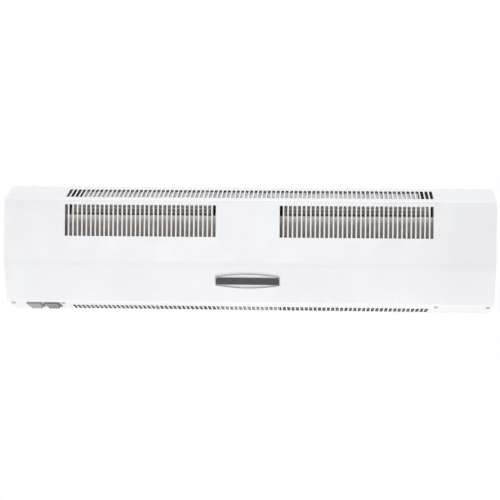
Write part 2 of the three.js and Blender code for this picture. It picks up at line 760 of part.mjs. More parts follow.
const impellerFromX = motorPlateX + CHASSIS_SHEET + IMPELLER_FROM_MOTOR_PLATE;
const impellerToX = partitionX - IMPELLER_FROM_PARTITION;

function bladeOutline(index) {
  const turn = (2 * Math.PI * index) / BLADE_COUNT;
  const corners = [0, 0.5, 1].map((share) => {
    const radius = IMPELLER_RADIUS - BLADE_DEPTH * (1 - share);
    const angle = turn + BLADE_SWEEP * share * share;
    return at(axisY + radius * Math.cos(angle), axisZ + radius * Math.sin(angle));
  });
  return sheetOutline(corners, BLADE_THICKNESS, [0, 0, 0]);
}

function disc(fromX, holeRadius) {
  const ring = [
    [holeRadius, fromX],
    [IMPELLER_RADIUS, fromX],
    [IMPELLER_RADIUS, fromX + DISC_THICKNESS],
    [holeRadius, fromX + DISC_THICKNESS],
  ];
  return turnedX(ring, at(axisY, axisZ), FINE);
}

function impeller() {
  const ends = [impellerFromX + DISC_THICKNESS / 2, impellerToX - DISC_THICKNESS / 2];
  const blades = Array.from({ length: BLADE_COUNT }, (_, i) => extrudeX(bladeOutline(i), ...ends));
  const body = solids(blades)
    .add(solid(disc(impellerFromX, COUPLING_RADIUS + SEAT_GAP)))
    .add(solid(disc(impellerToX - DISC_THICKNESS, STUB_SPIGOT_RADIUS + SEAT_GAP)));
  return geometryOf(body);
}

function coupling() {
  const shoulder = impellerFromX - SEAT_GAP;
  const bore = SHAFT_RADIUS + SEAT_GAP;
  return turnedX([
    [bore, shoulder - COUPLING_FLANGE_THICKNESS],
    [COUPLING_FLANGE_RADIUS, shoulder - COUPLING_FLANGE_THICKNESS],
    [COUPLING_FLANGE_RADIUS, shoulder],
    [COUPLING_RADIUS, shoulder],
    [COUPLING_RADIUS, shoulder + COUPLING_LENGTH],
    [bore, shoulder + COUPLING_LENGTH],
  ]);
}

function motorShaft() {
  const end = impellerFromX + COUPLING_LENGTH + SHAFT_PAST_COUPLING;
  return turnedX([
    [0, -end],
    [SHAFT_RADIUS, -end],
    [SHAFT_RADIUS, end],
    [0, end],
  ]);
}

const bearingFromX = partitionX + CHASSIS_SHEET / 2 - BEARING_RUBBER_WIDTH / 2;

function stubShaft() {
  const flange = impellerToX + SEAT_GAP;
  const end = bearingFromX + BEARING_LENGTH + SHAFT_PAST_COUPLING;
  return turnedX([
    [0, impellerToX - 2 * DISC_THICKNESS],
    [STUB_SPIGOT_RADIUS, impellerToX - 2 * DISC_THICKNESS],
    [STUB_SPIGOT_RADIUS, flange],
    [STUB_FLANGE_RADIUS, flange],
    [STUB_FLANGE_RADIUS, flange + STUB_FLANGE_THICKNESS],
    [SHAFT_RADIUS, flange + STUB_FLANGE_THICKNESS],
    [SHAFT_RADIUS, end],
    [0, end],
  ]);
}

function bearing() {
  return turnedX([
    [SHAFT_RADIUS + SEAT_GAP, bearingFromX],
    [BEARING_RADIUS, bearingFromX],
    [BEARING_RADIUS, bearingFromX + BEARING_LENGTH],
    [SHAFT_RADIUS + SEAT_GAP, bearingFromX + BEARING_LENGTH],
  ]);
}

// Rubber ring with a groove that grips the edge of a hole in a sheet wall.
function grommetRing(wallX, bore, radius, width) {
  const middle = wallX + CHASSIS_SHEET / 2;
  const halfGroove = CHASSIS_SHEET / 2 + SEAT_GAP;
  const neck = radius - RUBBER_GROOVE_DEPTH;
  const profile = [
    [bore, middle - width / 2],
    [radius, middle - width / 2],
    [radius, middle - halfGroove],
    [neck, middle - halfGroove],
    [neck, middle + halfGroove],
    [radius, middle + halfGroove],
    [radius, middle + width / 2],
    [bore, middle + width / 2],
  ];
  return turnedX(profile, at(axisY, axisZ), MEDIUM);
}

function bearingBush() {
  return grommetRing(partitionX, BEARING_RADIUS + SEAT_GAP, BEARING_RUBBER_RADIUS, BEARING_RUBBER_WIDTH);
}

function motorRing() {
  return grommetRing(motorPlateX, MOTOR_BOSS_RADIUS + SEAT_GAP, RUBBER_RING_RADIUS, RUBBER_RING_WIDTH);
}

// ---------------------------------------------------------------- motor

const halfMotor = MOTOR_LENGTH / 2;
const bossEnd = motorPlateX + CHASSIS_SHEET / 2 + RUBBER_RING_WIDTH / 2;

function motorHousing() {
  const bore = SHAFT_RADIUS + SEAT_GAP;
  const inner = MOTOR_RADIUS - MOTOR_SHELL;
  const innerEnd = halfMotor - MOTOR_SHELL;
  return turnedX([
    [bore, -bossEnd],
    [MOTOR_BOSS_RADIUS, -bossEnd],
    [MOTOR_BOSS_RADIUS, -halfMotor],
    [MOTOR_RADIUS, -halfMotor],
    [MOTOR_RADIUS, halfMotor],
    [MOTOR_BOSS_RADIUS, halfMotor],
    [MOTOR_BOSS_RADIUS, bossEnd],
    [bore, bossEnd],
    [bore, innerEnd],
    [inner, innerEnd],
    [inner, -innerEnd],
    [bore, -innerEnd],
  ], at(axisY, axisZ), FINE);
}

function ringX(inner, outer, halfLength, segments) {
  return turnedX([
    [inner, -halfLength],
    [outer, -halfLength],
    [outer, halfLength],
    [inner, halfLength],
  ], at(axisY, axisZ), segments);
}

const statorRadius = MOTOR_RADIUS - MOTOR_SHELL - SEAT_GAP;
const rotorRadius = statorRadius - STATOR_WALL - AIR_GAP;

// ---------------------------------------------------------------- heater

const insulatorFromX = partitionX + CHASSIS_SHEET + SEAT_GAP;
const insulatorToX = insulatorFromX + INSULATOR_THICKNESS;

function heaterRod(rod) {
  const collar = insulatorToX + SEAT_GAP;
  const half = [
    [ROD_RADIUS, collar],
    [ROD_COLLAR_RADIUS, collar],
    [ROD_COLLAR_RADIUS, collar + ROD_COLLAR_LENGTH],
    [ROD_STUD_RADIUS, collar + ROD_COLLAR_LENGTH],
    [ROD_STUD_RADIUS, collar + ROD_COLLAR_LENGTH + ROD_STUD_LENGTH],
    [0, collar + ROD_COLLAR_LENGTH + ROD_STUD_LENGTH],
  ];
  const other = half.map(([radius, x]) => [radius, -x]).reverse();
  return turnedX([...other, ...half], rod);
}

function heaterInsulator() {
  const low = BOTTOM_Z + ROD_MIDDLE_ABOVE_BOTTOM - INSULATOR_MARGIN;
  const high = low + ROD_STAGGER + 2 * INSULATOR_MARGIN;
  const halfDepth = ROD_SPACING + INSULATOR_MARGIN;
  const plate = box(
    [(insulatorFromX + insulatorToX) / 2, axisY, (low + high) / 2],
    [INSULATOR_THICKNESS, 2 * halfDepth, high - low],
  );
  const span = [insulatorFromX - CUT_OVERRUN, insulatorToX + CUT_OVERRUN];
  return cut(plate, rodPlaces.map((rod) => holeX(rod, ROD_RADIUS + SEAT_GAP, ...span)));
}

function thermalCutout() {
  const seat = -(partitionX + CHASSIS_SHEET + SEAT_GAP);
  const above = at(axisY, rodPlaces[0].y + CUTOUT_ABOVE_RODS);
  return turnedX([
    [0, seat - CUTOUT_DEPTH],
    [CUTOUT_RADIUS, seat - CUTOUT_DEPTH],
    [CUTOUT_RADIUS, seat - CHASSIS_SHEET],
    [CUTOUT_FLANGE_RADIUS, seat - CHASSIS_SHEET],
    [CUTOUT_FLANGE_RADIUS, seat],
    [0, seat],
  ], above);
}

// ---------------------------------------------------------------- rocker switches

const pocketWidth = switchBodyWidth - 2 * SWITCH_WALL;
const pocketLength = switchBodyLength - 2 * SWITCH_WALL;
const rockerHalfWidth = pocketWidth / 2 - ROCKER_SIDE_PLAY;
const rockerHalfLength = pocketLength / 2 - ROCKER_END_PLAY;
const bezelBase = SEAT_GAP;

function pinAlongX(radius, halfLength) {
  return turned([
    [0, -halfLength],
    [radius, -halfLength],
    [radius, halfLength],
    [0, halfLength],
  ]).rotateY(Math.PI / 2);
}

// In the switch's own frame: Z out of the casing, origin on the cover's outer face.
function switchHousing(x) {
  const bodyTop = bezelBase + SWITCH_BEZEL_HEIGHT / 2;
  const bezel = box([0, 0, bodyTop], [SWITCH_WIDTH, SWITCH_LENGTH, SWITCH_BEZEL_HEIGHT]);
  const body = box(
    [0, 0, (bodyTop - SWITCH_BODY_DEPTH) / 2],
    [switchBodyWidth, switchBodyLength, SWITCH_BODY_DEPTH + bodyTop],
  );
  const terminals = [-1, 1].map((side) =>
    box(
      [0, (side * TERMINAL_SPACING) / 2, (TERMINAL_ROOT - TERMINAL_LENGTH) / 2 - SWITCH_BODY_DEPTH],
      [TERMINAL_WIDTH, TERMINAL_THICKNESS, TERMINAL_ROOT + TERMINAL_LENGTH],
    ),
  );
  const pocketTop = bezelBase + SWITCH_BEZEL_HEIGHT + CUT_OVERRUN;
  const pocket = box(
    [0, 0, (pocketTop - SWITCH_POCKET_DEPTH) / 2],
    [pocketWidth, pocketLength, SWITCH_POCKET_DEPTH + pocketTop],
  );
  const pinHole = pinAlongX(ROCKER_PIN_RADIUS + SEAT_GAP, switchBodyWidth);
  const housing = solid(bezel)
    .add(solid(body))
    .add(solids(terminals))
    .subtract(solid(pocket))
    .subtract(solid(pinHole.translate(0, 0, -ROCKER_PIVOT_DEPTH)));
  return onFaceFrame(geometryOf(housing), bottomFace, x, SWITCH_FROM_FOLD);
}

// The rocker about its pivot, level: a shallow V on top and a skirt in the pocket.
function rockerBody() {
  const outline = [
    at(-rockerHalfLength, -ROCKER_SKIRT),
    at(rockerHalfLength, -ROCKER_SKIRT),
    at(rockerHalfLength, ROCKER_END_HEIGHT),
    at(0, ROCKER_MIDDLE_HEIGHT),
    at(-rockerHalfLength, ROCKER_END_HEIGHT),
  ];
  const pinReach = pocketWidth / 2 + SWITCH_WALL - SEAT_GAP;
  const body = extrudeX(outline, -rockerHalfWidth, rockerHalfWidth);
  return joined(body, [pinAlongX(ROCKER_PIN_RADIUS, pinReach)]);
}

function rocker(x) {
  const tilted = rockerBody().rotateX(THREE.MathUtils.degToRad(-ROCKER_TILT));
  return onFaceFrame(tilted, bottomFace, x, SWITCH_FROM_FOLD, -ROCKER_PIVOT_DEPTH);
}

// ---------------------------------------------------------------- fasteners and trim

function panScrew(length) {
  return turned([
    [0, -length],
    [SCREW_RADIUS, -length],
    [SCREW_RADIUS, SEAT_GAP],
    [SCREW_HEAD_RADIUS, SEAT_GAP],
    [SCREW_HEAD_RADIUS, SEAT_GAP + SCREW_HEAD_HEIGHT / 2],
    [SCREW_CROWN_RADIUS, SEAT_GAP + SCREW_HEAD_HEIGHT],
    [0, SEAT_GAP + SCREW_HEAD_HEIGHT],
  ]);
}

function earthNut() {
  const top = -(COVER_SHEET + SEAT_GAP);
  const bore = SCREW_RADIUS + SEAT_GAP;
  return turned([
    [bore, top - EARTH_NUT_HEIGHT],
    [EARTH_NUT_RADIUS, top - EARTH_NUT_HEIGHT],
    [EARTH_NUT_RADIUS, top],
    [bore, top],
  ], NUT_SIDES).translate(earthScrewX, earthScrewY, TOP_Z);
}

// A bar with flat ends and long sides that bulge evenly to the middle, drawn anticlockwise.
function barrel(width, height, endHeight) {
  const reach = width / 2;
  const end = endHeight / 2;
  const pull = height - end;
  const shape = new THREE.Shape();
  shape.moveTo(reach, -end);
  shape.lineTo(reach, end);
  shape.quadraticCurveTo(0, pull, -reach, end);
  shape.lineTo(-reach, -end);
  shape.quadraticCurveTo(0, -pull, reach, -end);
  return shape;
}

// A bar with small rounded corners, drawn anticlockwise.
function band(width, height, radius) {
  const reach = width / 2 - radius;
  const rise = height / 2 - radius;
  const shape = new THREE.Shape();
  shape.absarc(reach, -rise, radius, -Math.PI / 2, 0, false);
  shape.absarc(reach, rise, radius, 0, Math.PI / 2, false);
  shape.absarc(-reach, rise, radius, Math.PI / 2, Math.PI, false);
  shape.absarc(-reach, -rise, radius, Math.PI, (3 * Math.PI) / 2, false);
  return shape;
}

function badgePlate(shape, depth) {
  const geometry = new THREE.ExtrudeGeometry(shape, { depth, bevelEnabled: false, curveSegments: 8 });
  return onFaceFrame(geometry, leaningFace, 0, BADGE_BELOW_FOLD, SEAT_GAP);
}

function badge() {
  const width = BADGE_WIDTH - 2 * (BADGE_RIM_WIDTH + SEAT_GAP);
  return badgePlate(band(width, BADGE_BAND_HEIGHT, BADGE_BAND_CORNER), BADGE_THICKNESS);
}

function badgeRim() {
  const both = 2 * BADGE_RIM_WIDTH;
  const ring = barrel(BADGE_WIDTH, BADGE_HEIGHT, BADGE_END_HEIGHT);
  ring.holes.push(barrel(BADGE_WIDTH - both, BADGE_HEIGHT - both, BADGE_END_HEIGHT - both));
  return badgePlate(ring, BADGE_RIM_HEIGHT);
}

// ---------------------------------------------------------------- wiring bay

function cableGrommet() {
  const half = CHASSIS_SHEET / 2 + SEAT_GAP;
  const outer = half + GROMMET_LIP_THICKNESS;
  return turned([
    [GROMMET_BORE_RADIUS, -outer],
    [GROMMET_LIP_RADIUS, -outer],
    [GROMMET_LIP_RADIUS, -half],
    [GROMMET_NECK_RADIUS, -half],
    [GROMMET_NECK_RADIUS, half],
    [GROMMET_LIP_RADIUS, half],
    [GROMMET_LIP_RADIUS, outer],
    [GROMMET_BORE_RADIUS, outer],
  ]).translate(...grommetPlace, flangeZ - CHASSIS_SHEET / 2);
}

const chassisFront = -(CHASSIS_SHEET + SEAT_GAP);
const clampZ = TOP_Z - CLAMP_BELOW_TOP - CLAMP_HEIGHT / 2;

// Two-hole bar that presses the mains cable onto the chassis.
function cableClamp() {
  const middle = [grommetX, chassisFront - CLAMP_DEPTH / 2, clampZ];
  const bar = box(middle, [CLAMP_WIDTH, CLAMP_DEPTH, CLAMP_HEIGHT]);
  const holes = [-1, 1].map((side) => clampHole(side, SCREW_RADIUS + SEAT_GAP, CLAMP_DEPTH));
  return cut(bar, holes);
}

function clampHole(side, radius, reach) {
  const hole = new THREE.CylinderGeometry(radius, radius, 2 * reach, COARSE);
  return hole.translate(grommetX + (side * CLAMP_SCREW_SPACING) / 2, chassisFront - reach / 2, clampZ);
}

function clampScrew(side) {
  const screw = panScrew(CLAMP_DEPTH - SEAT_GAP).rotateX(Math.PI / 2);
  const x = grommetX + (side * CLAMP_SCREW_SPACING) / 2;
  return screw.translate(x, chassisFront - CLAMP_DEPTH, clampZ);
}

// Terminal strip: one bar with a raised cell for each way.
function terminalBlock() {
  const z = TOP_Z - BLOCK_BELOW_TOP;
  const base = box(
    [wiringX, chassisFront - BLOCK_BASE_DEPTH / 2, z],
    [BLOCK_WIDTH, BLOCK_BASE_DEPTH, BLOCK_HEIGHT],
  );
  const pitch = BLOCK_WIDTH / BLOCK_WAYS;
  const cellRoot = BLOCK_BASE_DEPTH / 2;
  const cells = Array.from({ length: BLOCK_WAYS }, (_, i) =>
    box(
      [wiringX + (i - (BLOCK_WAYS - 1) / 2) * pitch, chassisFront - (cellRoot + BLOCK_DEPTH) / 2, z],
      [pitch - BLOCK_CELL_GAP, BLOCK_DEPTH - cellRoot, BLOCK_CELL_HEIGHT],
    ),
  );
  return geometryOf(solid(base).add(solids(cells)));
}

const capacitorPlace = at(
  chassisFront - CLIP_STRAP - 2 * SEAT_GAP - CAPACITOR_RADIUS,
  BOTTOM_Z + CAPACITOR_ABOVE_BOTTOM,
);

function capacitor() {
  const half = CAPACITOR_LENGTH / 2;
  return turnedX([
    [0, -half],
    [CAPACITOR_RADIUS, -half],
    [CAPACITOR_RADIUS, half],
    [0, half],
  ], capacitorPlace, FINE).translate(wiringX, 0, 0);
}

// Sprung strap round the capacitor with two feet on the chassis.
function capacitorClip() {
  const inner = CAPACITOR_RADIUS + SEAT_GAP;
  const low = capacitorPlace.y - inner;
  const high = capacitorPlace.y + inner;
  const corners = [
    at(chassisFront, low - CLIP_FOOT),
    at(chassisFront, low),
    at(capacitorPlace.x - inner, low),
    at(capacitorPlace.x - inner, high),
    at(chassisFront, high),
    at(chassisFront, high + CLIP_FOOT),
  ];
  const round = inner - SEAT_GAP;
  const radii = [0, CLIP_STRAP, round, round, CLIP_STRAP, 0];
  const outline = sheetOutline(corners, CLIP_STRAP, radii);
  return extrudeX(outline, wiringX - CLIP_WIDTH / 2, wiringX + CLIP_WIDTH / 2);
}

// An insulated lead along a smooth route of places.
function lead(places, radius) {
  const route = new THREE.CatmullRomCurve3(places.map((p) => new THREE.Vector3(...p)), false, "centripetal");
  const corners = Array.from({ length: LEAD_SIDES }, (_, i) =>
    at(radius, 0).rotateAround(at(0, 0), (2 * Math.PI * i) / LEAD_SIDES),
  );
  return new THREE.ExtrudeGeometry(new THREE.Shape(corners), { steps: LEAD_STEPS, extrudePath: route });
}

// From the terminal block through the partition, behind the scroll and up to the motor.
function motorLead() {
  const blockX = wiringX + LEAD_FROM_BLOCK_MIDDLE;
  const blockY = chassisFront - BLOCK_BASE_DEPTH / 2;
  const blockZ = TOP_Z - BLOCK_BELOW_TOP - BLOCK_HEIGHT / 2 - SEAT_GAP;
  const motorBack = axisY + MOTOR_RADIUS + SEAT_GAP;
  return lead([
    [blockX, blockY, blockZ],
    [blockX, blockY, blockZ - LEAD_STRAIGHT],
    [-partitionX - LEAD_STRAIGHT, leadPlace.x, leadPlace.y],
    [-partitionX + LEAD_STRAIGHT, leadPlace.x, leadPlace.y],
    [-motorPlateX - LEAD_BEND, leadPlace.x, leadPlace.y],
    [-motorPlateX + LEAD_STRAIGHT, leadPlace.x, leadPlace.y],
    [-LEAD_FROM_MOTOR_MIDDLE, (leadPlace.x + motorBack) / 2 + LEAD_STRAIGHT, axisZ - LEAD_STRAIGHT],
    [-LEAD_FROM_MOTOR_MIDDLE, motorBack + LEAD_EXIT, axisZ],
    [-LEAD_FROM_MOTOR_MIDDLE, motorBack, axisZ],
  ], LEAD_RADIUS);
}

// From the thermal cut-out round to the stud of the middle rod.
function heaterLead() {
  const cutoutX = -(partitionX + CHASSIS_SHEET + 2 * SEAT_GAP + CUTOUT_DEPTH);
  const cutoutZ = rodPlaces[0].y + CUTOUT_ABOVE_RODS;
  const studX = -(insulatorToX + 2 * SEAT_GAP + ROD_COLLAR_LENGTH + ROD_STUD_LENGTH);
  const studZ = rodPlaces[1].y;
  return lead([
    [cutoutX, axisY, cutoutZ],
    [cutoutX - HEATER_LEAD_STRAIGHT, axisY, cutoutZ],
    [cutoutX - HEATER_LEAD_REACH, axisY, (cutoutZ + studZ) / 2],
    [studX - HEATER_LEAD_EXIT, axisY, studZ],
    [studX, axisY, studZ],
  ], HEATER_LEAD_RADIUS);
}

// ---------------------------------------------------------------- assembly

place("front_cover", frontCover(), paint);
place("back_plate", backPlate(), galvanised);
placePair("end_plate", endPlate(), paint);
placePair("partition", partition(), galvanised);
placePair("motor_plate", motorPlate(), galvanised);
placePair("duct_wall", ductWall(), galvanised);
placePair("scroll_guide", scrollGuide(), galvanised);
place("motor_shield", motorShield(), galvanised);
placePair("impeller", impeller(), aluminium);
placePair("coupling", coupling(), rubber);
placePair("stub_shaft", stubShaft(), steel);
placePair("bearing", bearing(), bronze);
placePair("bearing_bush", bearingBush(), rubber);
placePair("motor_ring", motorRing(), rubber);
place("motor_housing", motorHousing(), darkSteel);
place("motor_stator", ringX(statorRadius - STATOR_WALL, statorRadius, STATOR_LENGTH / 2, FINE), steel);
place("motor_rotor", ringX(SHAFT_RADIUS + SEAT_GAP, rotorRadius, ROTOR_LENGTH / 2, COARSE), steel);
place("motor_shaft", motorShaft(), steel);
rodPlaces.forEach((rod, i) => place(`heater_rod_${i + 1}`, heaterRod(rod), darkSteel));
placePair("heater_insulator", heaterInsulator(), ceramic);
place("thermal_cutout", thermalCutout(), ceramic);
place("fan_switch_housing", switchHousing(switchX[0]), darkPlastic);
place("fan_switch_rocker", rocker(switchX[0]), greyPlastic);
place("heat_switch_housing", switchHousing(switchX[1]), darkPlastic);
place("heat_switch_rocker", rocker(switchX[1]), greyPlastic);
coverScrewX.forEach((x, i) => {
  const screw = onFaceFrame(panScrew(SCREW_LENGTH), bottomFace, x, COVER_SCREW_FROM_FOLD);
  place(`cover_screw_${i + 1}`, screw, steel);
});
place("cover_earth_screw", panScrew(SCREW_LENGTH).translate(earthScrewX, earthScrewY, TOP_Z), steel);
place("cover_earth_nut", earthNut(), bronze);
place("badge", badge(), badgeGrey);
place("badge_rim", badgeRim(), silver);
place("cable_grommet", cableGrommet(), rubber);
place("cable_clamp", cableClamp(), palePlastic);
place("clamp_screw_1", clampScrew(-1), steel);
place("clamp_screw_2", clampScrew(1), steel);
place("terminal_block", terminalBlock(), palePlastic);
place("capacitor", capacitor(), palePlastic);
place("capacitor_clip", capacitorClip(), galvanised);
place("motor_lead", motorLead(), rubber);
place("heater_lead", heaterLead(), palePlastic);

export default airCurtain;
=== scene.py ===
# %% [markdown]
# # A wall-hung air curtain, dressed in Blender
#
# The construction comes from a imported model: every sheet, shaft and switch is already there at its real
# size. This file loads that frame, makes the pieces whose surface is finer than the construction shows,
# and gives every piece a finish. Lengths are written in millimetres and turned to metres by one factor,
# and only the studio at the end is written in metres.

# %% The frame
import json
import math

import bmesh
import bpy
from mathutils import Matrix, Vector


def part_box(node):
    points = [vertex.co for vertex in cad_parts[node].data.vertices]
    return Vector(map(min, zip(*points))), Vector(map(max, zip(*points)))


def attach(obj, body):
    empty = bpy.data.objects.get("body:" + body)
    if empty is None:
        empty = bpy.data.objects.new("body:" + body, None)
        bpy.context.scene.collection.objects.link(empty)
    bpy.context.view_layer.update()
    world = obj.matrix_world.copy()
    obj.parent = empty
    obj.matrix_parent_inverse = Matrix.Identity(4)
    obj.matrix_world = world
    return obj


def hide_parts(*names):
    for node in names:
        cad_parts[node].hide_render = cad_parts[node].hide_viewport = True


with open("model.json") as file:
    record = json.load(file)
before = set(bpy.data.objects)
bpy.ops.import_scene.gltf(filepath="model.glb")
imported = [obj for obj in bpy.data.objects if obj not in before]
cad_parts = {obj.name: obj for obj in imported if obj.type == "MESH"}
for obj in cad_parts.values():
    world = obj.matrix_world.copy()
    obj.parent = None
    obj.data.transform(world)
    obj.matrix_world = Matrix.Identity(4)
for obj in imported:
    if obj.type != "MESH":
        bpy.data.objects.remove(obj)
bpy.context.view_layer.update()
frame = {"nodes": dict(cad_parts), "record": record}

MM = 0.001
nodes = frame["nodes"]

# %% [markdown]
# ## The camera first
#
# The photograph looks at the unit almost squarely from about two metres, a little to its right, with a
# long lens. A camera is placed by its own three directions: right, up and backwards. Its angles are in
# radians.

# %% Camera
CAMERA_RIGHT_OF_MIDDLE = 120 * MM
CAMERA_ABOVE_MIDDLE = 4 * MM
CAMERA_FROM_FRONT = 2000 * MM
CAMERA_TURN = 0.0578
CAMERA_TIP = -0.0023
CAMERA_ROLL = 0.0090
CAMERA_LENS = 88.93

cover_low, cover_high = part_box("front_cover")
camera_ahead = Vector((
    -math.sin(CAMERA_TURN) * math.cos(CAMERA_TIP),
    math.cos(CAMERA_TURN) * math.cos(CAMERA_TIP),
    math.sin(CAMERA_TIP),
))
level_right = Vector((math.cos(CAMERA_TURN), math.sin(CAMERA_TURN), 0))
level_up = level_right.cross(camera_ahead)
camera_right = level_right * math.cos(CAMERA_ROLL) + level_up * math.sin(CAMERA_ROLL)
camera_up = level_up * math.cos(CAMERA_ROLL) - level_right * math.sin(CAMERA_ROLL)
camera = bpy.data.objects.new("camera", bpy.data.cameras.new("camera"))
camera.data.lens = CAMERA_LENS
camera_turn = Matrix((camera_right, camera_up, -camera_ahead)).transposed().to_4x4()
camera_spot = Vector((CAMERA_RIGHT_OF_MIDDLE, cover_low.y - CAMERA_FROM_FRONT, CAMERA_ABOVE_MIDDLE))
camera.matrix_world = Matrix.Translation(camera_spot) @ camera_turn
bpy.context.scene.collection.objects.link(camera)
bpy.context.scene.camera = camera
print("the camera stands at", [round(v, 3) for v in camera_spot])

# %% [markdown]
# ## Helpers for finishes
#
# Colours are written as sRGB hex values, as a paint chart gives them, and one function turns them to the
# linear values that a shader works in. Another small function adds a node with its settings and links.
# The rest are short names for what every finish here needs: a noise of a given grain, its spread over a
# range, a blend of two colours and a bump of a given depth.

# %% Colour and node helpers
# A mix node has sockets for numbers and vectors before the two colours, and the same in its results.
MIX_FIRST, MIX_SECOND, MIX_RESULT = 6, 7, 2
USUAL_NOISE = (0.3, 0.7)


def linear(hex_value):
    channels = [int(hex_value[i:i + 2], 16) / 255 for i in (1, 3, 5)]
    return [c / 12.92 if c <= 0.04045 else ((c + 0.055) / 1.055) ** 2.4 for c in channels] + [1.0]


def add_node(tree, kind, inputs=None, **settings):
    made = tree.nodes.new(kind)
    for key, value in settings.items():
        setattr(made, key, value)
    for socket, value in (inputs or {}).items():
        if isinstance(value, bpy.types.NodeSocket):
            tree.links.new(value, made.inputs[socket])
        else:
            made.inputs[socket].default_value = value
    return made


def new_finish(name):
    finish = bpy.data.materials.new(name)
    finish.use_nodes = True
    tree = finish.node_tree
    return finish, tree, tree.nodes["Principled BSDF"]


def per_mm(size):
    """The scale of a pattern whose grains are this many millimetres wide."""
    return 1 / (size * MM)


def surface(tree):
    return add_node(tree, "ShaderNodeTexCoord").outputs["Object"]


def noise(tree, place, size, detail=2.0):
    settings = {"Vector": place, "Scale": per_mm(size), "Detail": detail, "Roughness": 0.5}
    return add_node(tree, "ShaderNodeTexNoise", settings).outputs["Fac"]


def spread(tree, value, low, high, usual=USUAL_NOISE):
    """Maps a pattern's usual range, which is 0.3 to 0.7 for a noise, onto low to high."""
    limits = {"Value": value, "From Min": usual[0], "From Max": usual[1], "To Min": low, "To Max": high}
    return add_node(tree, "ShaderNodeMapRange", limits).outputs["Result"]


def blend_colours(tree, share, first, second):
    mix = add_node(tree, "ShaderNodeMix", data_type="RGBA")
    tree.links.new(share, mix.inputs["Factor"])
    for socket, colour in ((mix.inputs[MIX_FIRST], first), (mix.inputs[MIX_SECOND], second)):
        if isinstance(colour, bpy.types.NodeSocket):
            tree.links.new(colour, socket)
        else:
            socket.default_value = linear(colour)
    return mix.outputs[MIX_RESULT]


def dress(tree, shader, colour, roughness, metallic=0.0):
    """Joins a colour and a roughness to the shader, and says how far it is bare metal."""
    tree.links.new(colour, shader.inputs["Base Color"])
    tree.links.new(roughness, shader.inputs["Roughness"])
    shader.inputs["Metallic"].default_value = metallic


def bump(tree, shader, height, depth_mm):
    settings = {"Height": height, "Distance": depth_mm * MM, "Strength": 1.0}
    tree.links.new(add_node(tree, "ShaderNodeBump", settings).outputs["Normal"], shader.inputs["Normal"])


finishes = {}
print("helpers ready")

# %% [markdown]
# ## White powder coat
#
# The casing is steel sheet sprayed with dry polyester powder and baked. The powder melts into a smooth skin
# with very shallow waves, called orange peel, and its white drifts a little over a hand's width.

# %% Powder coat
COAT_DRIFT, COAT_GLOSS, ORANGE_PEEL = 110, 30, 2.4


def powder_coat():
    """Polyester powder on steel: the eye gets a soft satin white with gentle waves in its highlights."""
    finish, tree, shader = new_finish("white_powder_coat")
    place = surface(tree)
    white = blend_colours(tree, spread(tree, noise(tree, place, COAT_DRIFT), 0, 1), "#EFEFF3", "#F3F4F5")
    dress(tree, shader, white, spread(tree, noise(tree, place, COAT_GLOSS), 0.36, 0.46))
    bump(tree, shader, noise(tree, place, ORANGE_PEEL, detail=1), 0.03)
    return finish


finishes["cover_paint"] = powder_coat()
print("made", finishes["cover_paint"].name)

# %% [markdown]
# ## Zinc in its two forms
#
# The sheets behind the cover are hot-dip galvanised, which leaves frost-like crystals called spangle. The
# screws are zinc plated, which is finer and brighter. Both are metals, so their colour is their reflection,
# but the old dull skin of the galvanised sheet hides most of its metal.

# %% Galvanised sheet and plated screws
SPANGLE, FROST = 9, 1.5
SCRATCH, POLISH = 0.6, 0.3


def galvanised_sheet():
    """Hot-dip zinc: crystals a thumbnail wide, each a slightly different grey and gloss."""
    finish, tree, shader = new_finish("galvanised_sheet")
    place = surface(tree)
    crystals = add_node(tree, "ShaderNodeTexVoronoi", {"Vector": place, "Scale": per_mm(SPANGLE)})
    crystal = add_node(tree, "ShaderNodeSeparateColor", {"Color": crystals.outputs["Color"]}).outputs[0]
    grey = blend_colours(tree, crystal, "#A6A8AA", "#C8CACA")
    dress(tree, shader, grey, spread(tree, crystal, 0.45, 0.65, usual=(0, 1)), metallic=0.35)
    bump(tree, shader, noise(tree, place, FROST), 0.02)
    return finish


def zinc_plate():
    """Bright electroplated zinc on a rolled screw: fine scratches, a faint cool tint."""
    finish, tree, shader = new_finish("zinc_plated_steel")
    place = surface(tree)
    scratch = spread(tree, noise(tree, place, SCRATCH, detail=4), 0, 1)
    grey = blend_colours(tree, scratch, "#8E9093", "#B4B6B9")
    dress(tree, shader, grey, spread(tree, noise(tree, place, POLISH), 0.28, 0.45), metallic=1.0)
    bump(tree, shader, scratch, 0.01)
    return finish


finishes["galvanised"] = galvanised_sheet()
finishes["fastener"] = zinc_plate()
print("made", finishes["galvanised"].name, "and", finishes["fastener"].name)

# %% [markdown]
# ## Drawn, rolled and turned metals
#
# A metal shows how it was worked. Rolled blades and drawn rods have lines along their length, and a turned
# shaft has rings round it. The same noise gives both: it is stretched along the working direction. Zinc
# that stands in warm air browns. Along the lip of the duct wall a pale band is painted in, a painted
# highlight where the lip catches the light.

# %% Worked and warmed metals
ALONG_X = (0.03, 1, 1)
ROUND_X = (1, 0.05, 0.05)
ALL_WAYS = (1, 1, 1)
TINT, TINT_GLOSS = 12, 3
# Heights over which a painted highlight on the duct wall's lip fades in; above them the zinc is painted
# pale.
LIP_HIGHLIGHT_BAND = (45 * MM, 55 * MM)


def worked_metal(name, dark, light, line_mm, stretch, roughness, metallic=1.0):
    """Metal with fine lines of a given spacing, drawn out along the axes where stretch is small."""
    finish, tree, shader = new_finish(name)
    turned_place = add_node(tree, "ShaderNodeMapping", {"Vector": surface(tree), "Scale": stretch})
    lines = noise(tree, turned_place.outputs["Vector"], line_mm, detail=3)
    colour = blend_colours(tree, spread(tree, lines, 0, 1), dark, light)
    dress(tree, shader, colour, spread(tree, lines, *roughness), metallic)
    bump(tree, shader, lines, 0.02)
    return finish


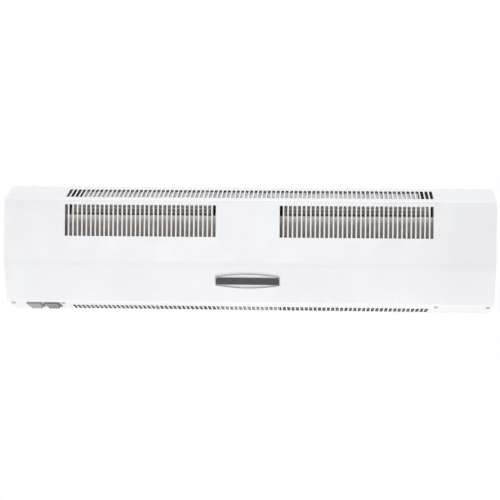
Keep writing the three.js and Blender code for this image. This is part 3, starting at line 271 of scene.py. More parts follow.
def heat_tinted_zinc_painted_lip():
    """Zinc browned by warm air: a dull brown grey, painted pale between the two heights of the lip as a
    painted highlight.
    """
    finish, tree, shader = new_finish("heat_tinted_zinc_painted_lip")
    place = surface(tree)
    brown = blend_colours(tree, spread(tree, noise(tree, place, TINT, detail=3), 0, 1), "#978E87", "#B0A79F")
    height = add_node(tree, "ShaderNodeSeparateXYZ", {"Vector": place}).outputs["Z"]
    # Painted highlight: from the lip's lower height upwards the brown turns pale grey, for the light the lip
    # catches.
    colour = blend_colours(tree, spread(tree, height, 0, 1, usual=LIP_HIGHLIGHT_BAND), brown, "#D8D2CB")
    dress(tree, shader, colour, spread(tree, noise(tree, place, TINT_GLOSS), 0.5, 0.65), metallic=0.2)
    bump(tree, shader, noise(tree, place, FROST), 0.02)
    return finish


# Rolled aluminium dulled by warm air, zinc, bright steel off the lathe, and bronze pressed from powder.
finishes["aluminium"] = worked_metal(
    "warmed_aluminium", "#B6AEA5", "#CEC7BE", 0.8, ALONG_X, (0.5, 0.65), metallic=0.3)
finishes["warm_zinc"] = heat_tinted_zinc_painted_lip()
finishes["steel"] = worked_metal("turned_steel", "#7E8082", "#A4A6A8", 0.5, ROUND_X, (0.22, 0.36))
finishes["bronze"] = worked_metal("sintered_bronze", "#8A6E45", "#B08F5C", 0.4, ALL_WAYS, (0.45, 0.6))
print("made four finishes of worked and warmed metal")

# %% [markdown]
# ## Browned steel
#
# A heater rod's sheath oxidises in soft bands, because some lengths of it run hotter than others. The
# motor's stoved shell is about as dark, and takes the same finish.

# %% Heater sheath
HOT_BANDS, SCALE_GLOSS, SCALE_GRAIN = 26, 1.2, 0.8


def heater_sheath():
    """Nickel steel tube, browned by its own heat in soft bands along the rod."""
    finish, tree, shader = new_finish("oxidised_heater_sheath")
    place = surface(tree)
    bands = spread(tree, noise(tree, place, HOT_BANDS, detail=3), 0, 1)
    brown = blend_colours(tree, bands, "#4B3F37", "#7A685B")
    dress(tree, shader, brown, spread(tree, noise(tree, place, SCALE_GLOSS), 0.38, 0.6), metallic=0.7)
    bump(tree, shader, noise(tree, place, SCALE_GRAIN, detail=4), 0.03)
    return finish


finishes["dark_steel"] = heater_sheath()
print("made", finishes["dark_steel"].name)

# %% [markdown]
# ## Plastics, rubber and ceramics
#
# Moulded parts carry the fine grain of their mould, and rubber and fired clay have their own. One helper
# draws all of them, so a table can hold what differs: two close tones, the grain's width, the range of the
# roughness and the grain's depth.

# %% Moulded and fired finishes
TONE_DRIFT = 14
MOULDED = {
    # ABS from a spark-eroded mould: a fine, even grain without shine.
    "switch_body": ("spark_grained_abs", "#77797C", "#828487", 0.5, (0.45, 0.6), 0.02),
    # ABS from a smoother mould: a satin sheen on the rocker.
    "switch_rocker": ("satin_abs_rocker", "#8E9092", "#999B9D", 0.7, (0.28, 0.4), 0.01),
    # The same two for the second switch, drawn in a darker grey.
    "heat_switch_body": ("darker_abs", "#585A5D", "#636568", 0.5, (0.45, 0.6), 0.02),
    "heat_switch_rocker": ("darker_abs_rocker", "#66686B", "#727477", 0.7, (0.28, 0.4), 0.01),
    # Undyed moulded nylon: ivory, a little waxy.
    "pale_plastic": ("ivory_nylon", "#D9D2BF", "#E4DECF", 0.8, (0.4, 0.55), 0.02),
    # Pressed and fired steatite: chalky and dry.
    "ceramic": ("steatite_ceramic", "#D3CBB9", "#DFD8C8", 0.4, (0.6, 0.75), 0.03),
    # Moulded rubber: near black, with hardly a highlight.
    "rubber": ("black_rubber", "#19191A", "#232324", 0.6, (0.65, 0.85), 0.03),
    # PVC drawn over a wire: smooth, with one blurred highlight along it.
    "lead_black": ("black_pvc_insulation", "#151516", "#1E1E1F", 1.2, (0.4, 0.5), 0.01),
    # Woven glass sleeve: dull threads, drawn as one coarse grain.
    "lead_white": ("woven_glass_sleeve", "#C9C6BC", "#DAD8D0", 0.5, (0.7, 0.9), 0.05),
    # Enamel stoved on the badge's band: warm black with a low sheen.
    "badge_field": ("dark_stoved_enamel", "#2C292B", "#373436", 0.9, (0.38, 0.5), 0.01),
}


def moulded(name, dark, light, grain_mm, roughness, depth_mm):
    finish, tree, shader = new_finish(name)
    place = surface(tree)
    grain = noise(tree, place, grain_mm, detail=3)
    tone = spread(tree, noise(tree, place, TONE_DRIFT), 0, 1)
    dress(tree, shader, blend_colours(tree, tone, dark, light), spread(tree, grain, *roughness))
    bump(tree, shader, grain, depth_mm)
    return finish


for slot_name, values in MOULDED.items():
    finishes[slot_name] = moulded(*values)
print("made", len(MOULDED), "moulded and fired finishes")

# %% [markdown]
# ## The badge's rim
#
# The rim is one bright rolled strip, and the enamel of the band runs over its two short ends. Both lie on
# one piece, so the material itself changes: past a certain distance from the middle it is enamel.

# %% Rolled rim
RIM_END_FROM_MIDDLE = 50.6


def rolled_rim():
    """Bright rolled metal, with its two short ends under the same dark enamel as the band they close."""
    finish = worked_metal("bright_rolled_rim", "#7E8084", "#9C9EA2", 0.4, (0.2, 1, 1), (0.25, 0.38))
    tree = finish.node_tree
    shader = tree.nodes["Principled BSDF"]
    along = add_node(tree, "ShaderNodeSeparateXYZ", {"Vector": surface(tree)}).outputs["X"]
    away = add_node(tree, "ShaderNodeMath", {0: along}, operation="ABSOLUTE").outputs[0]
    limit = RIM_END_FROM_MIDDLE * MM
    at_end = add_node(tree, "ShaderNodeMath", {0: away, 1: limit}, operation="GREATER_THAN").outputs[0]
    bare = shader.inputs["Base Color"].links[0].from_socket
    tree.links.new(blend_colours(tree, at_end, bare, "#323032"), shader.inputs["Base Color"])
    bright = add_node(tree, "ShaderNodeMath", {0: 1.0, 1: at_end}, operation="SUBTRACT").outputs[0]
    tree.links.new(bright, shader.inputs["Metallic"])
    return finish


finishes["badge_metal"] = rolled_rim()
print("made", len(finishes), "finishes")

# %% [markdown]
# ## Every carried node gets its finish
#
# The record names a material slot for each node, so one loop can hand out the finishes. Pieces that this
# file makes anew take theirs as they are made.

# %% Finishes on the frame
slot_of = {row["node"]: row["material_slot"] for row in frame["record"]["subparts"]}
for name, piece in nodes.items():
    piece.data.materials.clear()
    piece.data.materials.append(finishes[slot_of[name]])
print("dressed", len(slot_of), "nodes of the frame")

# %% [markdown]
# ## How a piece is put on the model
#
# A bmesh is a mesh that a script can pull about. When its shape is done, doubled corners are merged, faces
# are turned outwards, and edges that meet at a small angle are drawn smooth, so a bend looks round while a
# cut edge stays crisp. Then it rides on the body that carries it, and hides the plainer node it stands for.

# %% Piece helpers
SMOOTH_BELOW = math.radians(38)
FLAT_WITHIN = math.radians(0.6)
WELD = 0.002 * MM
bodies_in_record = frame["record"]["behaviour"]["bodies"]
body_of = {node: body for body, members in bodies_in_record.items() for node in members}


def merged_copy(node):
    """A node's loose triangles, joined into one skin."""
    shape = bmesh.new()
    shape.from_mesh(nodes[node].data)
    bmesh.ops.remove_doubles(shape, verts=shape.verts, dist=WELD)
    return shape


def outwards(shape):
    bmesh.ops.remove_doubles(shape, verts=shape.verts, dist=WELD)
    bmesh.ops.recalc_face_normals(shape, faces=shape.faces)


def put_on(name, shape, node, finish=None):
    """Makes the shape a piece that stands for a node and moves as it does."""
    for face in shape.faces:
        face.smooth = True
    for edge in shape.edges:
        edge.smooth = edge.calc_face_angle(math.pi) < SMOOTH_BELOW
    mesh = bpy.data.meshes.new(name)
    shape.to_mesh(mesh)
    shape.free()
    piece = bpy.data.objects.new(name, mesh)
    bpy.context.scene.collection.objects.link(piece)
    mesh.materials.append(finishes[finish or slot_of[node]])
    piece.modifiers.new("even_faces", "WEIGHTED_NORMAL").keep_sharp = True
    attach(piece, body_of[node])
    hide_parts(node)
    return piece


def break_edges(shape, width_mm, keener_than=50):
    """Rounds off every edge whose faces meet at more than an angle, in degrees."""
    keen = [edge for edge in shape.edges if edge.calc_face_angle(0) > math.radians(keener_than)]
    bmesh.ops.bevel(
        shape, geom=keen, offset=width_mm * MM, offset_type="OFFSET", segments=2,
        profile=0.5, affect="EDGES", clamp_overlap=True, material=-1)


def moved_corners(shape, made, step):
    """Moves the corners among what an extrusion made by a step in metres, and returns them."""
    moved = [item for item in made if isinstance(item, bmesh.types.BMVert)]
    bmesh.ops.translate(shape, verts=moved, vec=step)
    return moved


def softened(node, width_mm, finish=None):
    """A copy of a node's solid with whole flat faces, and with its edges broken."""
    shape = merged_copy(node)
    bmesh.ops.dissolve_limit(shape, angle_limit=FLAT_WITHIN, verts=shape.verts, edges=shape.edges)
    break_edges(shape, width_mm)
    return put_on(f"{node}_softened", shape, node, finish)


def spun(shape, profile, steps):
    """Spins a section of (radius, height) points, in millimetres, about Z. It ends on the axis or closes."""
    corners = [shape.verts.new((radius * MM, 0, height * MM)) for radius, height in profile]
    edges = [shape.edges.new(pair) for pair in zip(corners, corners[1:])]
    if profile[0][0] or profile[-1][0]:
        edges.append(shape.edges.new((corners[-1], corners[0])))
    bmesh.ops.spin(
        shape, geom=corners + edges, cent=(0, 0, 0), axis=(0, 0, 1), dvec=(0, 0, 0),
        angle=2 * math.pi, steps=steps, use_merge=True)


def turned(profile, steps=48):
    shape = bmesh.new()
    spun(shape, profile, steps)
    outwards(shape)
    return shape


def laid_along_x(shape, y, z):
    """Turns a shape's Z axis along X, through a place in the section, in millimetres."""
    bmesh.ops.transform(
        shape, verts=shape.verts,
        matrix=Matrix.Translation((0, y * MM, z * MM)) @ Matrix.Rotation(math.pi / 2, 4, "Y"))
    return shape


print("bodies:", {body: len(members) for body, members in bodies_in_record.items()})

# %% [markdown]
# ## The section that everything sits on
#
# The cover is one sheet, folded four times and curved once. Its outer face is written once as corners in
# the plane across the unit, wall side first, and each straight face between two corners gets a frame of its
# own: X along the unit, Z out of the face. Slots, switches and screws are all placed on those.

# %% Section of the cover
COVER_SHEET = 1.0
CORNERS = [(-0.3, 103), (-90, 103), (-150, 80), (-150, -24.5), (-128, -88.5), (-64, -103), (-0.3, -103)]
FACES = len(CORNERS) - 1
REAR_FACE, TOP_FACE, FRONT_FACE, BOTTOM_FACE = 0, 1, 2, 4
FOLD_RADIUS, FOLD_STEPS = 4, 5
SOFT_FOLD_RADIUS, SOFT_FOLD_STEPS = 41, 16


def corner_at(index):
    return Vector(CORNERS[index])


def along_face(index, distance):
    """A point of the section at a distance from a corner, towards the next one."""
    return corner_at(index) + (corner_at(index + 1) - corner_at(index)).normalized() * distance


def arc_at(index, radius, steps):
    """The rounding of a corner, as points from the face before it to the face after it."""
    corner = corner_at(index)
    back = (corner_at(index - 1) - corner).normalized()
    ahead = (corner_at(index + 1) - corner).normalized()
    half = back.angle(ahead) / 2
    centre = corner + (back + ahead).normalized() * (radius / math.sin(half))
    start = corner + back * (radius / math.tan(half)) - centre
    end = corner + ahead * (radius / math.tan(half)) - centre
    swing = start.angle_signed(end)
    return [centre + Matrix.Rotation(-swing * k / steps, 2) @ start for k in range(steps + 1)]


def face_frame(index):
    """X along the unit, Z out of the face, and minus Y along the face from its first corner."""
    first, second = corner_at(index), corner_at(index + 1)
    step = (second - first).normalized()
    out = Vector((step.y, -step.x))
    return Matrix((
        (1, 0, 0, 0),
        (0, -step.x, out.x, first.x * MM),
        (0, -step.y, out.y, first.y * MM),
        (0, 0, 0, 1),
    ))


top_length = (corner_at(TOP_FACE + 1) - corner_at(TOP_FACE)).length
print("top slope is", round(top_length, 1), "mm long")

# %% [markdown]
# ## Cover: one folded sheet with 231 slots
#
# A press punches the slots into flat sheet and a brake folds it. Here the section is drawn once as a line
# and extruded along the unit in steps that fall on every slot's edges. The faces inside the slots are then
# deleted, the skin gets its thickness, and the punched rims are broken a little, as paint leaves them. A
# bent strip is welded inside, behind the outlet slots under the motor, where the long sheet is weakest.

# %% Slot rows
SLOT_PITCH = 7.352
SLOT_WIDTH = 5.0
TOP_SLOTS, GRILLE_SLOTS, OUTLET_SLOTS = 82, 34, 81
TOP_SLOT_LENGTH, TOP_SLOT_FROM_FRONT = 40, 12
GRILLE_SPAN, OUTLET_SPAN = (8.5, 60), (29, 63)
GRILLE_FIRST_X = 54.5
top_start = top_length - TOP_SLOT_FROM_FRONT - TOP_SLOT_LENGTH
grille_last = GRILLE_FIRST_X + (GRILLE_SLOTS - 1) * SLOT_PITCH


def row_of(count, first):
    return [first + i * SLOT_PITCH for i in range(count)]


def middle_row(count):
    return row_of(count, -(count - 1) * SLOT_PITCH / 2)


def hole(face, x, width, start, end):
    """A rectangular hole: its face, its two sides along the unit and its two ends along the face."""
    return (face, x - width / 2, x + width / 2, start, end)


grille_rows = row_of(GRILLE_SLOTS, -grille_last) + row_of(GRILLE_SLOTS, GRILLE_FIRST_X)
top_end = top_start + TOP_SLOT_LENGTH
holes = [hole(TOP_FACE, x, SLOT_WIDTH, top_start, top_end) for x in middle_row(TOP_SLOTS)]
holes += [hole(FRONT_FACE, x, SLOT_WIDTH, *GRILLE_SPAN) for x in grille_rows]
holes += [hole(BOTTOM_FACE, x, SLOT_WIDTH, *OUTLET_SPAN) for x in middle_row(OUTLET_SLOTS)]
print(len(holes), "slots")

# %% Holes for switches, screws and the cord
SWITCH_X = (-356.8, -327.5)
SWITCH_FROM_FOLD = 25.5
SWITCH_WIDTH, SWITCH_HALF = 22.2, 14.8
SCREW_X = (-391.4, -307.5, 307.5, 391.4)
SCREW_FROM_FOLD = 12
SCREW_HOLE_HALF = 2
EARTH_X, EARTH_FROM_FOLD = -367, 9
NOTCH_X, NOTCH_WIDTH, NOTCH_DEPTH = -345, 26, 42.7


def hole_about(face, x, width, middle, half):
    return hole(face, x, width, middle - half, middle + half)


def screw_hole(face, x, middle):
    return hole_about(face, x, 2 * SCREW_HOLE_HALF, middle, SCREW_HOLE_HALF)


rear_run = corner_at(0).x - corner_at(1).x
holes += [hole_about(BOTTOM_FACE, x, SWITCH_WIDTH, SWITCH_FROM_FOLD, SWITCH_HALF) for x in SWITCH_X]
holes += [screw_hole(BOTTOM_FACE, x, SCREW_FROM_FOLD) for x in SCREW_X]
holes += [screw_hole(REAR_FACE, EARTH_X, rear_run - EARTH_FROM_FOLD)]
holes += [hole(REAR_FACE, NOTCH_X, NOTCH_WIDTH, 0, NOTCH_DEPTH)]
print(len(holes), "holes to leave open")

# %% Cover shell
ON_THE_FACE = 0.4 * MM
SAME_X = 0.01 * MM
RIM_BREAK = 0.2


def section_points():
    """The section's points in order, with one at every slot's end, so that faces end where holes do."""
    points = [corner_at(0)]
    for face in range(FACES):
        ends = sorted({round(d, 4) for h in holes if h[0] == face for d in h[3:5]})
        points += [along_face(face, d) for d in ends if d > 0]
        if face == FRONT_FACE:
            points += arc_at(face + 1, SOFT_FOLD_RADIUS, SOFT_FOLD_STEPS)
        elif face < FACES - 1:
            points += arc_at(face + 1, FOLD_RADIUS, FOLD_STEPS)
    return points + [corner_at(FACES)]


def in_a_hole(place, holes_of_face, to_face):
    for face, frame_back in to_face.items():
        spot = frame_back @ place
        if abs(spot.z) > ON_THE_FACE:
            continue
        for _, low, high, start, end in holes_of_face[face]:
            if low < spot.x / MM < high and start < -spot.y / MM < end:
                return True
    return False


def cover_shell():
    half = cover_high.x / MM
    lines = sorted({round(x, 4) for h in holes for x in h[1:3]} | {-half, half})
    shape = bmesh.new()
    corners = [shape.verts.new((lines[0] * MM, p.x * MM, p.y * MM)) for p in section_points()]
    front = [shape.edges.new(pair) for pair in zip(corners, corners[1:])]
    for here, there in zip(lines, lines[1:]):
        made = bmesh.ops.extrude_edge_only(shape, edges=front)["geom"]
        moved_corners(shape, made, ((there - here) * MM, 0, 0))
        front = [item for item in made if isinstance(item, bmesh.types.BMEdge)]
    punched = (REAR_FACE, TOP_FACE, FRONT_FACE, BOTTOM_FACE)
    to_face = {face: face_frame(face).inverted() for face in punched}
    holes_of_face = {face: [h for h in holes if h[0] == face] for face in to_face}
    inside = [f for f in shape.faces if in_a_hole(f.calc_center_median(), holes_of_face, to_face)]
    bmesh.ops.delete(shape, geom=inside, context="FACES")
    crossing = [
        e for e in shape.edges
        if len(e.link_faces) == 2 and abs(e.verts[0].co.x - e.verts[1].co.x) < SAME_X]
    bmesh.ops.dissolve_edges(shape, edges=crossing, use_verts=True)
    outwards(shape)
    bmesh.ops.solidify(shape, geom=shape.faces, thickness=COVER_SHEET * MM)
    bmesh.ops.recalc_face_normals(shape, faces=shape.faces)
    break_edges(shape, RIM_BREAK)
    return shape


print("the cover's section has", len(section_points()), "points")

# %% Strip inside the cover
STIFFENER_HALF = 47
STIFFENER_FROM_WALL = 62.5
STIFFENER_FOOT = 10
STIFFENER_HEIGHT = 15


def stiffener(shape):
    """A bent strip spot-welded inside the bottom, behind the outlet slots under the motor."""
    floor = corner_at(BOTTOM_FACE + 1).y + COVER_SHEET
    section = [
        (0, 0), (STIFFENER_FOOT, 0), (STIFFENER_FOOT, COVER_SHEET),
        (COVER_SHEET, COVER_SHEET), (COVER_SHEET, STIFFENER_HEIGHT), (0, STIFFENER_HEIGHT)]
    corners = [
        shape.verts.new((-STIFFENER_HALF * MM, (y - STIFFENER_FROM_WALL) * MM, (z + floor) * MM))
        for y, z in section]
    drawn = bmesh.ops.extrude_face_region(shape, geom=[shape.faces.new(corners)])["geom"]
    moved = moved_corners(shape, drawn, (2 * STIFFENER_HALF * MM, 0, 0))
    strip = [face for face in shape.faces if face.verts[0] in corners + moved]
    bmesh.ops.recalc_face_normals(shape, faces=strip)
    return shape


cover = put_on("cover_shell", stiffener(cover_shell()), "front_cover")
print("cover of", len(cover.data.polygons), "faces")

# %% [markdown]
# ## Folded sheets and moulded parts
#
# The construction's own solids are right in size, and only their edges are too keen. Each gets a copy with
# whole flat faces and edges broken by about as much as its making leaves: 0.15 mm on thin punched sheet,
# 0.3 mm on the end plates, switch housings, nut, laminations and badge, and 0.5 mm on the rest.

# %% Softened copies
EDGE_BREAK = {
    0.15: ["back_plate", "left_partition", "right_partition", "left_motor_plate", "right_motor_plate",
           "left_scroll_guide", "right_scroll_guide", "left_duct_wall", "right_duct_wall",
           "motor_shield", "capacitor_clip"],
    0.3: ["left_end_plate", "right_end_plate", "fan_switch_housing", "heat_switch_housing",
          "cover_earth_nut", "motor_rotor", "motor_stator", "badge_rim", "badge"],
    0.5: ["fan_switch_rocker", "heat_switch_rocker", "cable_clamp", "terminal_block",
          "left_heater_insulator", "right_heater_insulator"],
}
OWN_FINISH = {
    "left_duct_wall": "warm_zinc",
    "right_duct_wall": "warm_zinc",
    "heat_switch_housing": "heat_switch_body",
    "heat_switch_rocker": "heat_switch_rocker",
}
for width, names in EDGE_BREAK.items():
    for name in names:
        softened(name, width, OWN_FINISH.get(name))
print("softened", sum(len(names) for names in EDGE_BREAK.values()), "solids")

# %% [markdown]
# ## Leads
#
# A lead is a bent tube with few sides in the frame. Two levels of subdivision make it round, and smooth
# its bends as the stiff wire inside would.

# %% Leads
LEAD_LEVELS = 2
for name in ("motor_lead", "heater_lead"):
    lead = put_on(f"{name}_round", merged_copy(name), name)
    rounding = lead.modifiers.new("round", "SUBSURF")
    rounding.levels = rounding.render_levels = LEAD_LEVELS
print("rounded two leads")

# %% [markdown]
# ## Turned parts
#
# Whatever a lathe makes is drawn as half a section and spun. The fan line lies along X through one point of
# the section, so all of its parts share that axis. Left and right halves are the same part turned round.

# %% Fan line
AXIS = (-78, 48)
PARTITION_X, MOTOR_PLATE_X = 302, 50
WALL_SHEET = 1.2
GROOVE_HALF, GROOVE_DEPTH = 0.9, 3
IMPELLER_X = (59.2, 296)
SHAFT_BORE = 4.3
SHAFT = [(0, -74.2), (4, -74.2), (4, 74.2), (0, 74.2)]
COUPLING = [(SHAFT_BORE, 55.9), (16, 55.9), (16, 58.9), (12, 58.9), (12, 63), (11.2, 64), (11.2, 66),
            (12, 67), (12, 70.9), (SHAFT_BORE, 70.9)]
STUB = [(0, 292), (8, 292), (8, 296.3), (13, 296.3), (13, 297.8), (4, 297.8), (4, 310.9), (3.3, 311.6),
        (0, 311.6)]
BEARING = [(SHAFT_BORE, 299.6), (7, 299.6), (7.5, 300.4), (9, 300.4), (9, 307.8), (7.5, 307.8),
           (7, 308.6), (SHAFT_BORE, 308.6)]


def on_fan_line(name, node, profile, break_mm):
    """A turned part of the fan line, with its keen rings broken by a small width."""
    shape = turned(profile)
    break_edges(shape, break_mm, keener_than=40)
    return put_on(name, laid_along_x(shape, *AXIS), node)


def mirrored(profile, side):
    return [(radius, side * x) for radius, x in profile]


def ring_in_wall(wall_x, bore, radius, width):
    """Half a section of a rubber ring whose groove grips the sheet it sits in."""
    middle, root = wall_x + WALL_SHEET / 2, radius - GROOVE_DEPTH
    return [
        (bore, middle - width / 2), (radius, middle - width / 2), (radius, middle - GROOVE_HALF),
        (root, middle - GROOVE_HALF), (root, middle + GROOVE_HALF), (radius, middle + GROOVE_HALF),
        (radius, middle + width / 2), (bore, middle + width / 2)]


FAN_LINE = {
    "coupling": (COUPLING, 0.3),
    "stub_shaft": (STUB, 0.2),
    "bearing": (BEARING, 0.2),
    "bearing_bush": (ring_in_wall(PARTITION_X, 9.3, 16, 6), 0.7),
    "motor_ring": (ring_in_wall(MOTOR_PLATE_X, 11.3, 19, 7), 0.7),
}
for side, hand in ((-1, "left"), (1, "right")):
    for part, (profile, width) in FAN_LINE.items():
        on_fan_line(f"{hand}_{part}_turned", f"{hand}_{part}", mirrored(profile, side), width)
on_fan_line("motor_shaft_ground", "motor_shaft", SHAFT, 0.5)
print("turned", 2 * len(FAN_LINE) + 1, "parts of the fan line")

# %% [markdown]
# ## Motor
#
# Two spun end bells close on a rolled band round the laminations. Each bell has a ring of pressed louvres,
# which are made by insetting two of every three faces of the bell's flat ring together and sinking what is
# left of them.

# %% Motor shell
MOTOR_STEPS = 48
LOUVRE_RING, BELL_FLAT = (17.5, 26.5), (39, 40)
LOUVRE_MARGIN, LOUVRE_DEPTH = 0.9, 1.2
BELL = [(SHAFT_BORE, 54.1), (11, 54.1), (11, 43), (13, 40), (17, 39.6), (27, 39.6), (31, 38.4),
        (33.4, 35), (33.4, 21), (34, 20.4)]
BELL_HOLLOW = [(SHAFT_BORE, -38), (32, -38), (32, 38), (SHAFT_BORE, 38)]


def is_louvre(face):
    middle = face.calc_center_median()
    if not LOUVRE_RING[0] < middle.xy.length / MM < LOUVRE_RING[1]:
        return False
    if not BELL_FLAT[0] < abs(middle.z) / MM < BELL_FLAT[1]:
        return False
    return bool(round(math.degrees(math.atan2(middle.y, middle.x)) / (360 / MOTOR_STEPS) - 0.5) % 3)


def motor_shell():
    shape = turned(BELL + mirrored(reversed(BELL), -1) + BELL_HOLLOW, MOTOR_STEPS)
    louvres = [face for face in shape.faces if is_louvre(face)]
    bmesh.ops.inset_region(shape, faces=louvres, thickness=LOUVRE_MARGIN * MM, depth=-LOUVRE_DEPTH * MM)
    break_edges(shape, 0.25)
    return laid_along_x(shape, *AXIS)


put_on("motor_shell", motor_shell(), "motor_housing")
print("spun the motor's shell")

# %% [markdown]
# ## Impellers
#
# A cross-flow impeller is a cage of thin blades, each bent to an arc and staked into discs. One blade's arc
# is spun from a single corner, drawn out along the axis, given its sheet thickness and copied round.

# %% Impellers
BLADES = 36
BLADE_EDGE_RADIUS = 30
BLADE_ARC_CENTRE = (33, -6)
BLADE_BEND, BLADE_STEPS = 75, 6
BLADE_SHEET = 0.6
DISC, DISC_RADIUS, DISC_STEPS = 2, 38, 72
COUPLING_BORE, STUB_BORE, RING_BORE = 12.3, 8.3, 29
RINGS_FROM_MIDDLE = (-39.5, 38.5)


def impeller(side):
    shape = bmesh.new()
    near, far = (side * x for x in IMPELLER_X)
    centre_x, centre_y = BLADE_ARC_CENTRE
    start = shape.verts.new((BLADE_EDGE_RADIUS * MM, 0, near * MM))
    bmesh.ops.spin(
        shape, geom=[start], cent=(centre_x * MM, centre_y * MM, near * MM), axis=(0, 0, 1),
        dvec=(0, 0, 0), angle=-math.radians(BLADE_BEND), steps=BLADE_STEPS)
    drawn = bmesh.ops.extrude_edge_only(shape, edges=shape.edges[:])["geom"]
    moved_corners(shape, drawn, (0, 0, (far - near) * MM))
    bmesh.ops.solidify(shape, geom=shape.faces[:], thickness=BLADE_SHEET * MM)
    bmesh.ops.spin(
        shape, geom=shape.verts[:] + shape.edges[:] + shape.faces[:], cent=(0, 0, 0), axis=(0, 0, 1),
        dvec=(0, 0, 0), angle=2 * math.pi * (BLADES - 1) / BLADES, steps=BLADES - 1, use_duplicate=True)
    middle = (near + far) / 2
    discs = [(COUPLING_BORE, near, near + side * DISC), (STUB_BORE, far - side * DISC, far)]
    discs += [(RING_BORE, middle + step, middle + step + side) for step in RINGS_FROM_MIDDLE]
    for bore, first, last in discs:
        spun(shape, [(bore, first), (DISC_RADIUS, first), (DISC_RADIUS, last), (bore, last)], DISC_STEPS)
    outwards(shape)
    return laid_along_x(shape, *AXIS)


for side, hand in ((-1, "left"), (1, "right")):
    put_on(f"{hand}_bladed_cage", impeller(side), f"{hand}_impeller")
print("made two impellers of", BLADES, "blades")

# %% [markdown]
# ## Heater rods, cut-out, capacitor and grommet
#
# Each rod is a steel tube swaged round its filling, with a collar at either end and a threaded stud. The
# other three are simple turned shapes with rounded rims.

# %% Heater rods
THREAD_PITCH, THREAD_DEPTH = 0.8, 0.3
ROD_PLACES = ((-95, -41), (-78, -56), (-61, -41))
ROD_STEPS = 32
ROD_COLLAR = [(4.25, 307), (4.25, 307.8), (5.6, 307.8), (6, 308.3), (6, 310.2), (5.4, 310.8)]
STUD_RADIUS, STUD_FROM, STUD_TO = 2, 310.8, 322.8


def threaded(radius, start, end):
    """Points of a threaded length, crests at the radius and roots a little below it."""
    count = int(abs(end - start) / THREAD_PITCH) * 2
    step = (end - start) / count
    return [(radius - THREAD_DEPTH * (k % 2), start + step * k) for k in range(count + 1)]


half_rod = ROD_COLLAR + threaded(STUD_RADIUS, STUD_FROM, STUD_TO) + [(0, STUD_TO)]
for number, place in enumerate(ROD_PLACES, start=1):
    rod = turned(mirrored(reversed(half_rod), -1) + half_rod, ROD_STEPS)
    put_on(f"heater_rod_{number}_swaged", laid_along_x(rod, *place), f"heater_rod_{number}")
print("turned", len(ROD_PLACES), "heater rods")

# %% Cut-out, capacitor and grommet
CUTOUT_PLACE, CAPACITOR_PLACE = (-78, -11), (-17.1, -18)
GROMMET_PLACE = (-345, -30, 101.1)
CUTOUT = [(0, -312.5), (7, -312.5), (8, -311.5), (8, -305), (11.5, -304.7), (12, -304.3),
          (12, -303.5), (0, -303.5)]
CAPACITOR = [(0, -374.5), (11.5, -374.5), (12, -376), (13.4, -376), (14, -375.2), (14, -372), (13.5, -371),
             (14, -370), (14, -326), (13.2, -324.6), (11, -324), (0, -324)]
GROMMET = [(4.5, -2.2), (5, -2.7), (8.6, -2.7), (9.5, -1.8), (9.5, -0.9), (7, -0.9), (7, 0.9),
           (9.5, 0.9), (9.5, 1.8), (8.6, 2.7), (5, 2.7), (4.5, 2.2)]
put_on("thermal_cutout_turned", laid_along_x(turned(CUTOUT), *CUTOUT_PLACE), "thermal_cutout")
put_on("capacitor_can", laid_along_x(turned(CAPACITOR), *CAPACITOR_PLACE), "capacitor")
grommet = turned(GROMMET)
bmesh.ops.translate(grommet, verts=grommet.verts, vec=[length * MM for length in GROMMET_PLACE])
put_on("cable_grommet_turned", grommet, "cable_grommet")
print("turned the cut-out, the capacitor and the grommet")

# %% [markdown]
# ## Screws
#
# Pan-head screws hold the cover, the clamp and the earth lead. The head's dome is part of the spun section,
# and the cross for the driver is sunk into it: the faces of a hub and four arms are pushed down together.
# The earth screw is driven before the cover is sprayed, so its head is white.

# %% Pan-head screw
HEAD = [(0, 2.3), (0.6, 2.3), (1.5, 2.28), (1.9, 2.2), (2.6, 1.9), (3.05, 1.4), (3.2, 0.9), (3.2, 0.45),
        (3.05, 0.3)]
SHANK_RADIUS, SHANK_FROM, POINT = 1.7, 0.3, 0.8
SCREW_STEPS = 16
CROSS_ABOVE, CROSS_HUB, CROSS_REACH, CROSS_DEPTH = 2, 0.55, 1.4, 1.1
ARM_WITHIN = 5


def is_cross(face):
    """Whether a face of the dome is in the hub of the cross, or in one of its arms at quarter turns."""
    middle = face.calc_center_median()
    reach = middle.xy.length / MM
    turn = math.degrees(math.atan2(middle.y, middle.x)) % 90
    in_arm = reach < CROSS_REACH and min(turn, 90 - turn) < ARM_WITHIN
    return middle.z > CROSS_ABOVE * MM and (reach < CROSS_HUB or in_arm)


def pan_screw(length):
    shank = threaded(SHANK_RADIUS, SHANK_FROM, -length + POINT) + [(0, -length)]
    shape = turned(HEAD + shank, SCREW_STEPS)
    half_a_face = Matrix.Rotation(math.radians(180 / SCREW_STEPS), 3, "Z")
    bmesh.ops.rotate(shape, verts=shape.verts, cent=(0, 0, 0), matrix=half_a_face)
    cross = [face for face in shape.faces if is_cross(face)]
    sunk = bmesh.ops.extrude_face_region(shape, geom=cross)["geom"]
    bmesh.ops.delete(shape, geom=cross, context="FACES_ONLY")
    moved_corners(shape, sunk, (0, 0, -CROSS_DEPTH * MM))
    outwards(shape)
    return shape


def screw_at(name, length, matrix, finish=None):
    shape = pan_screw(length)
    bmesh.ops.transform(shape, verts=shape.verts, matrix=matrix)
    put_on(f"{name}_crossed", shape, name, finish)


print("the head is", 2 * max(radius for radius, _ in HEAD), "mm wide")

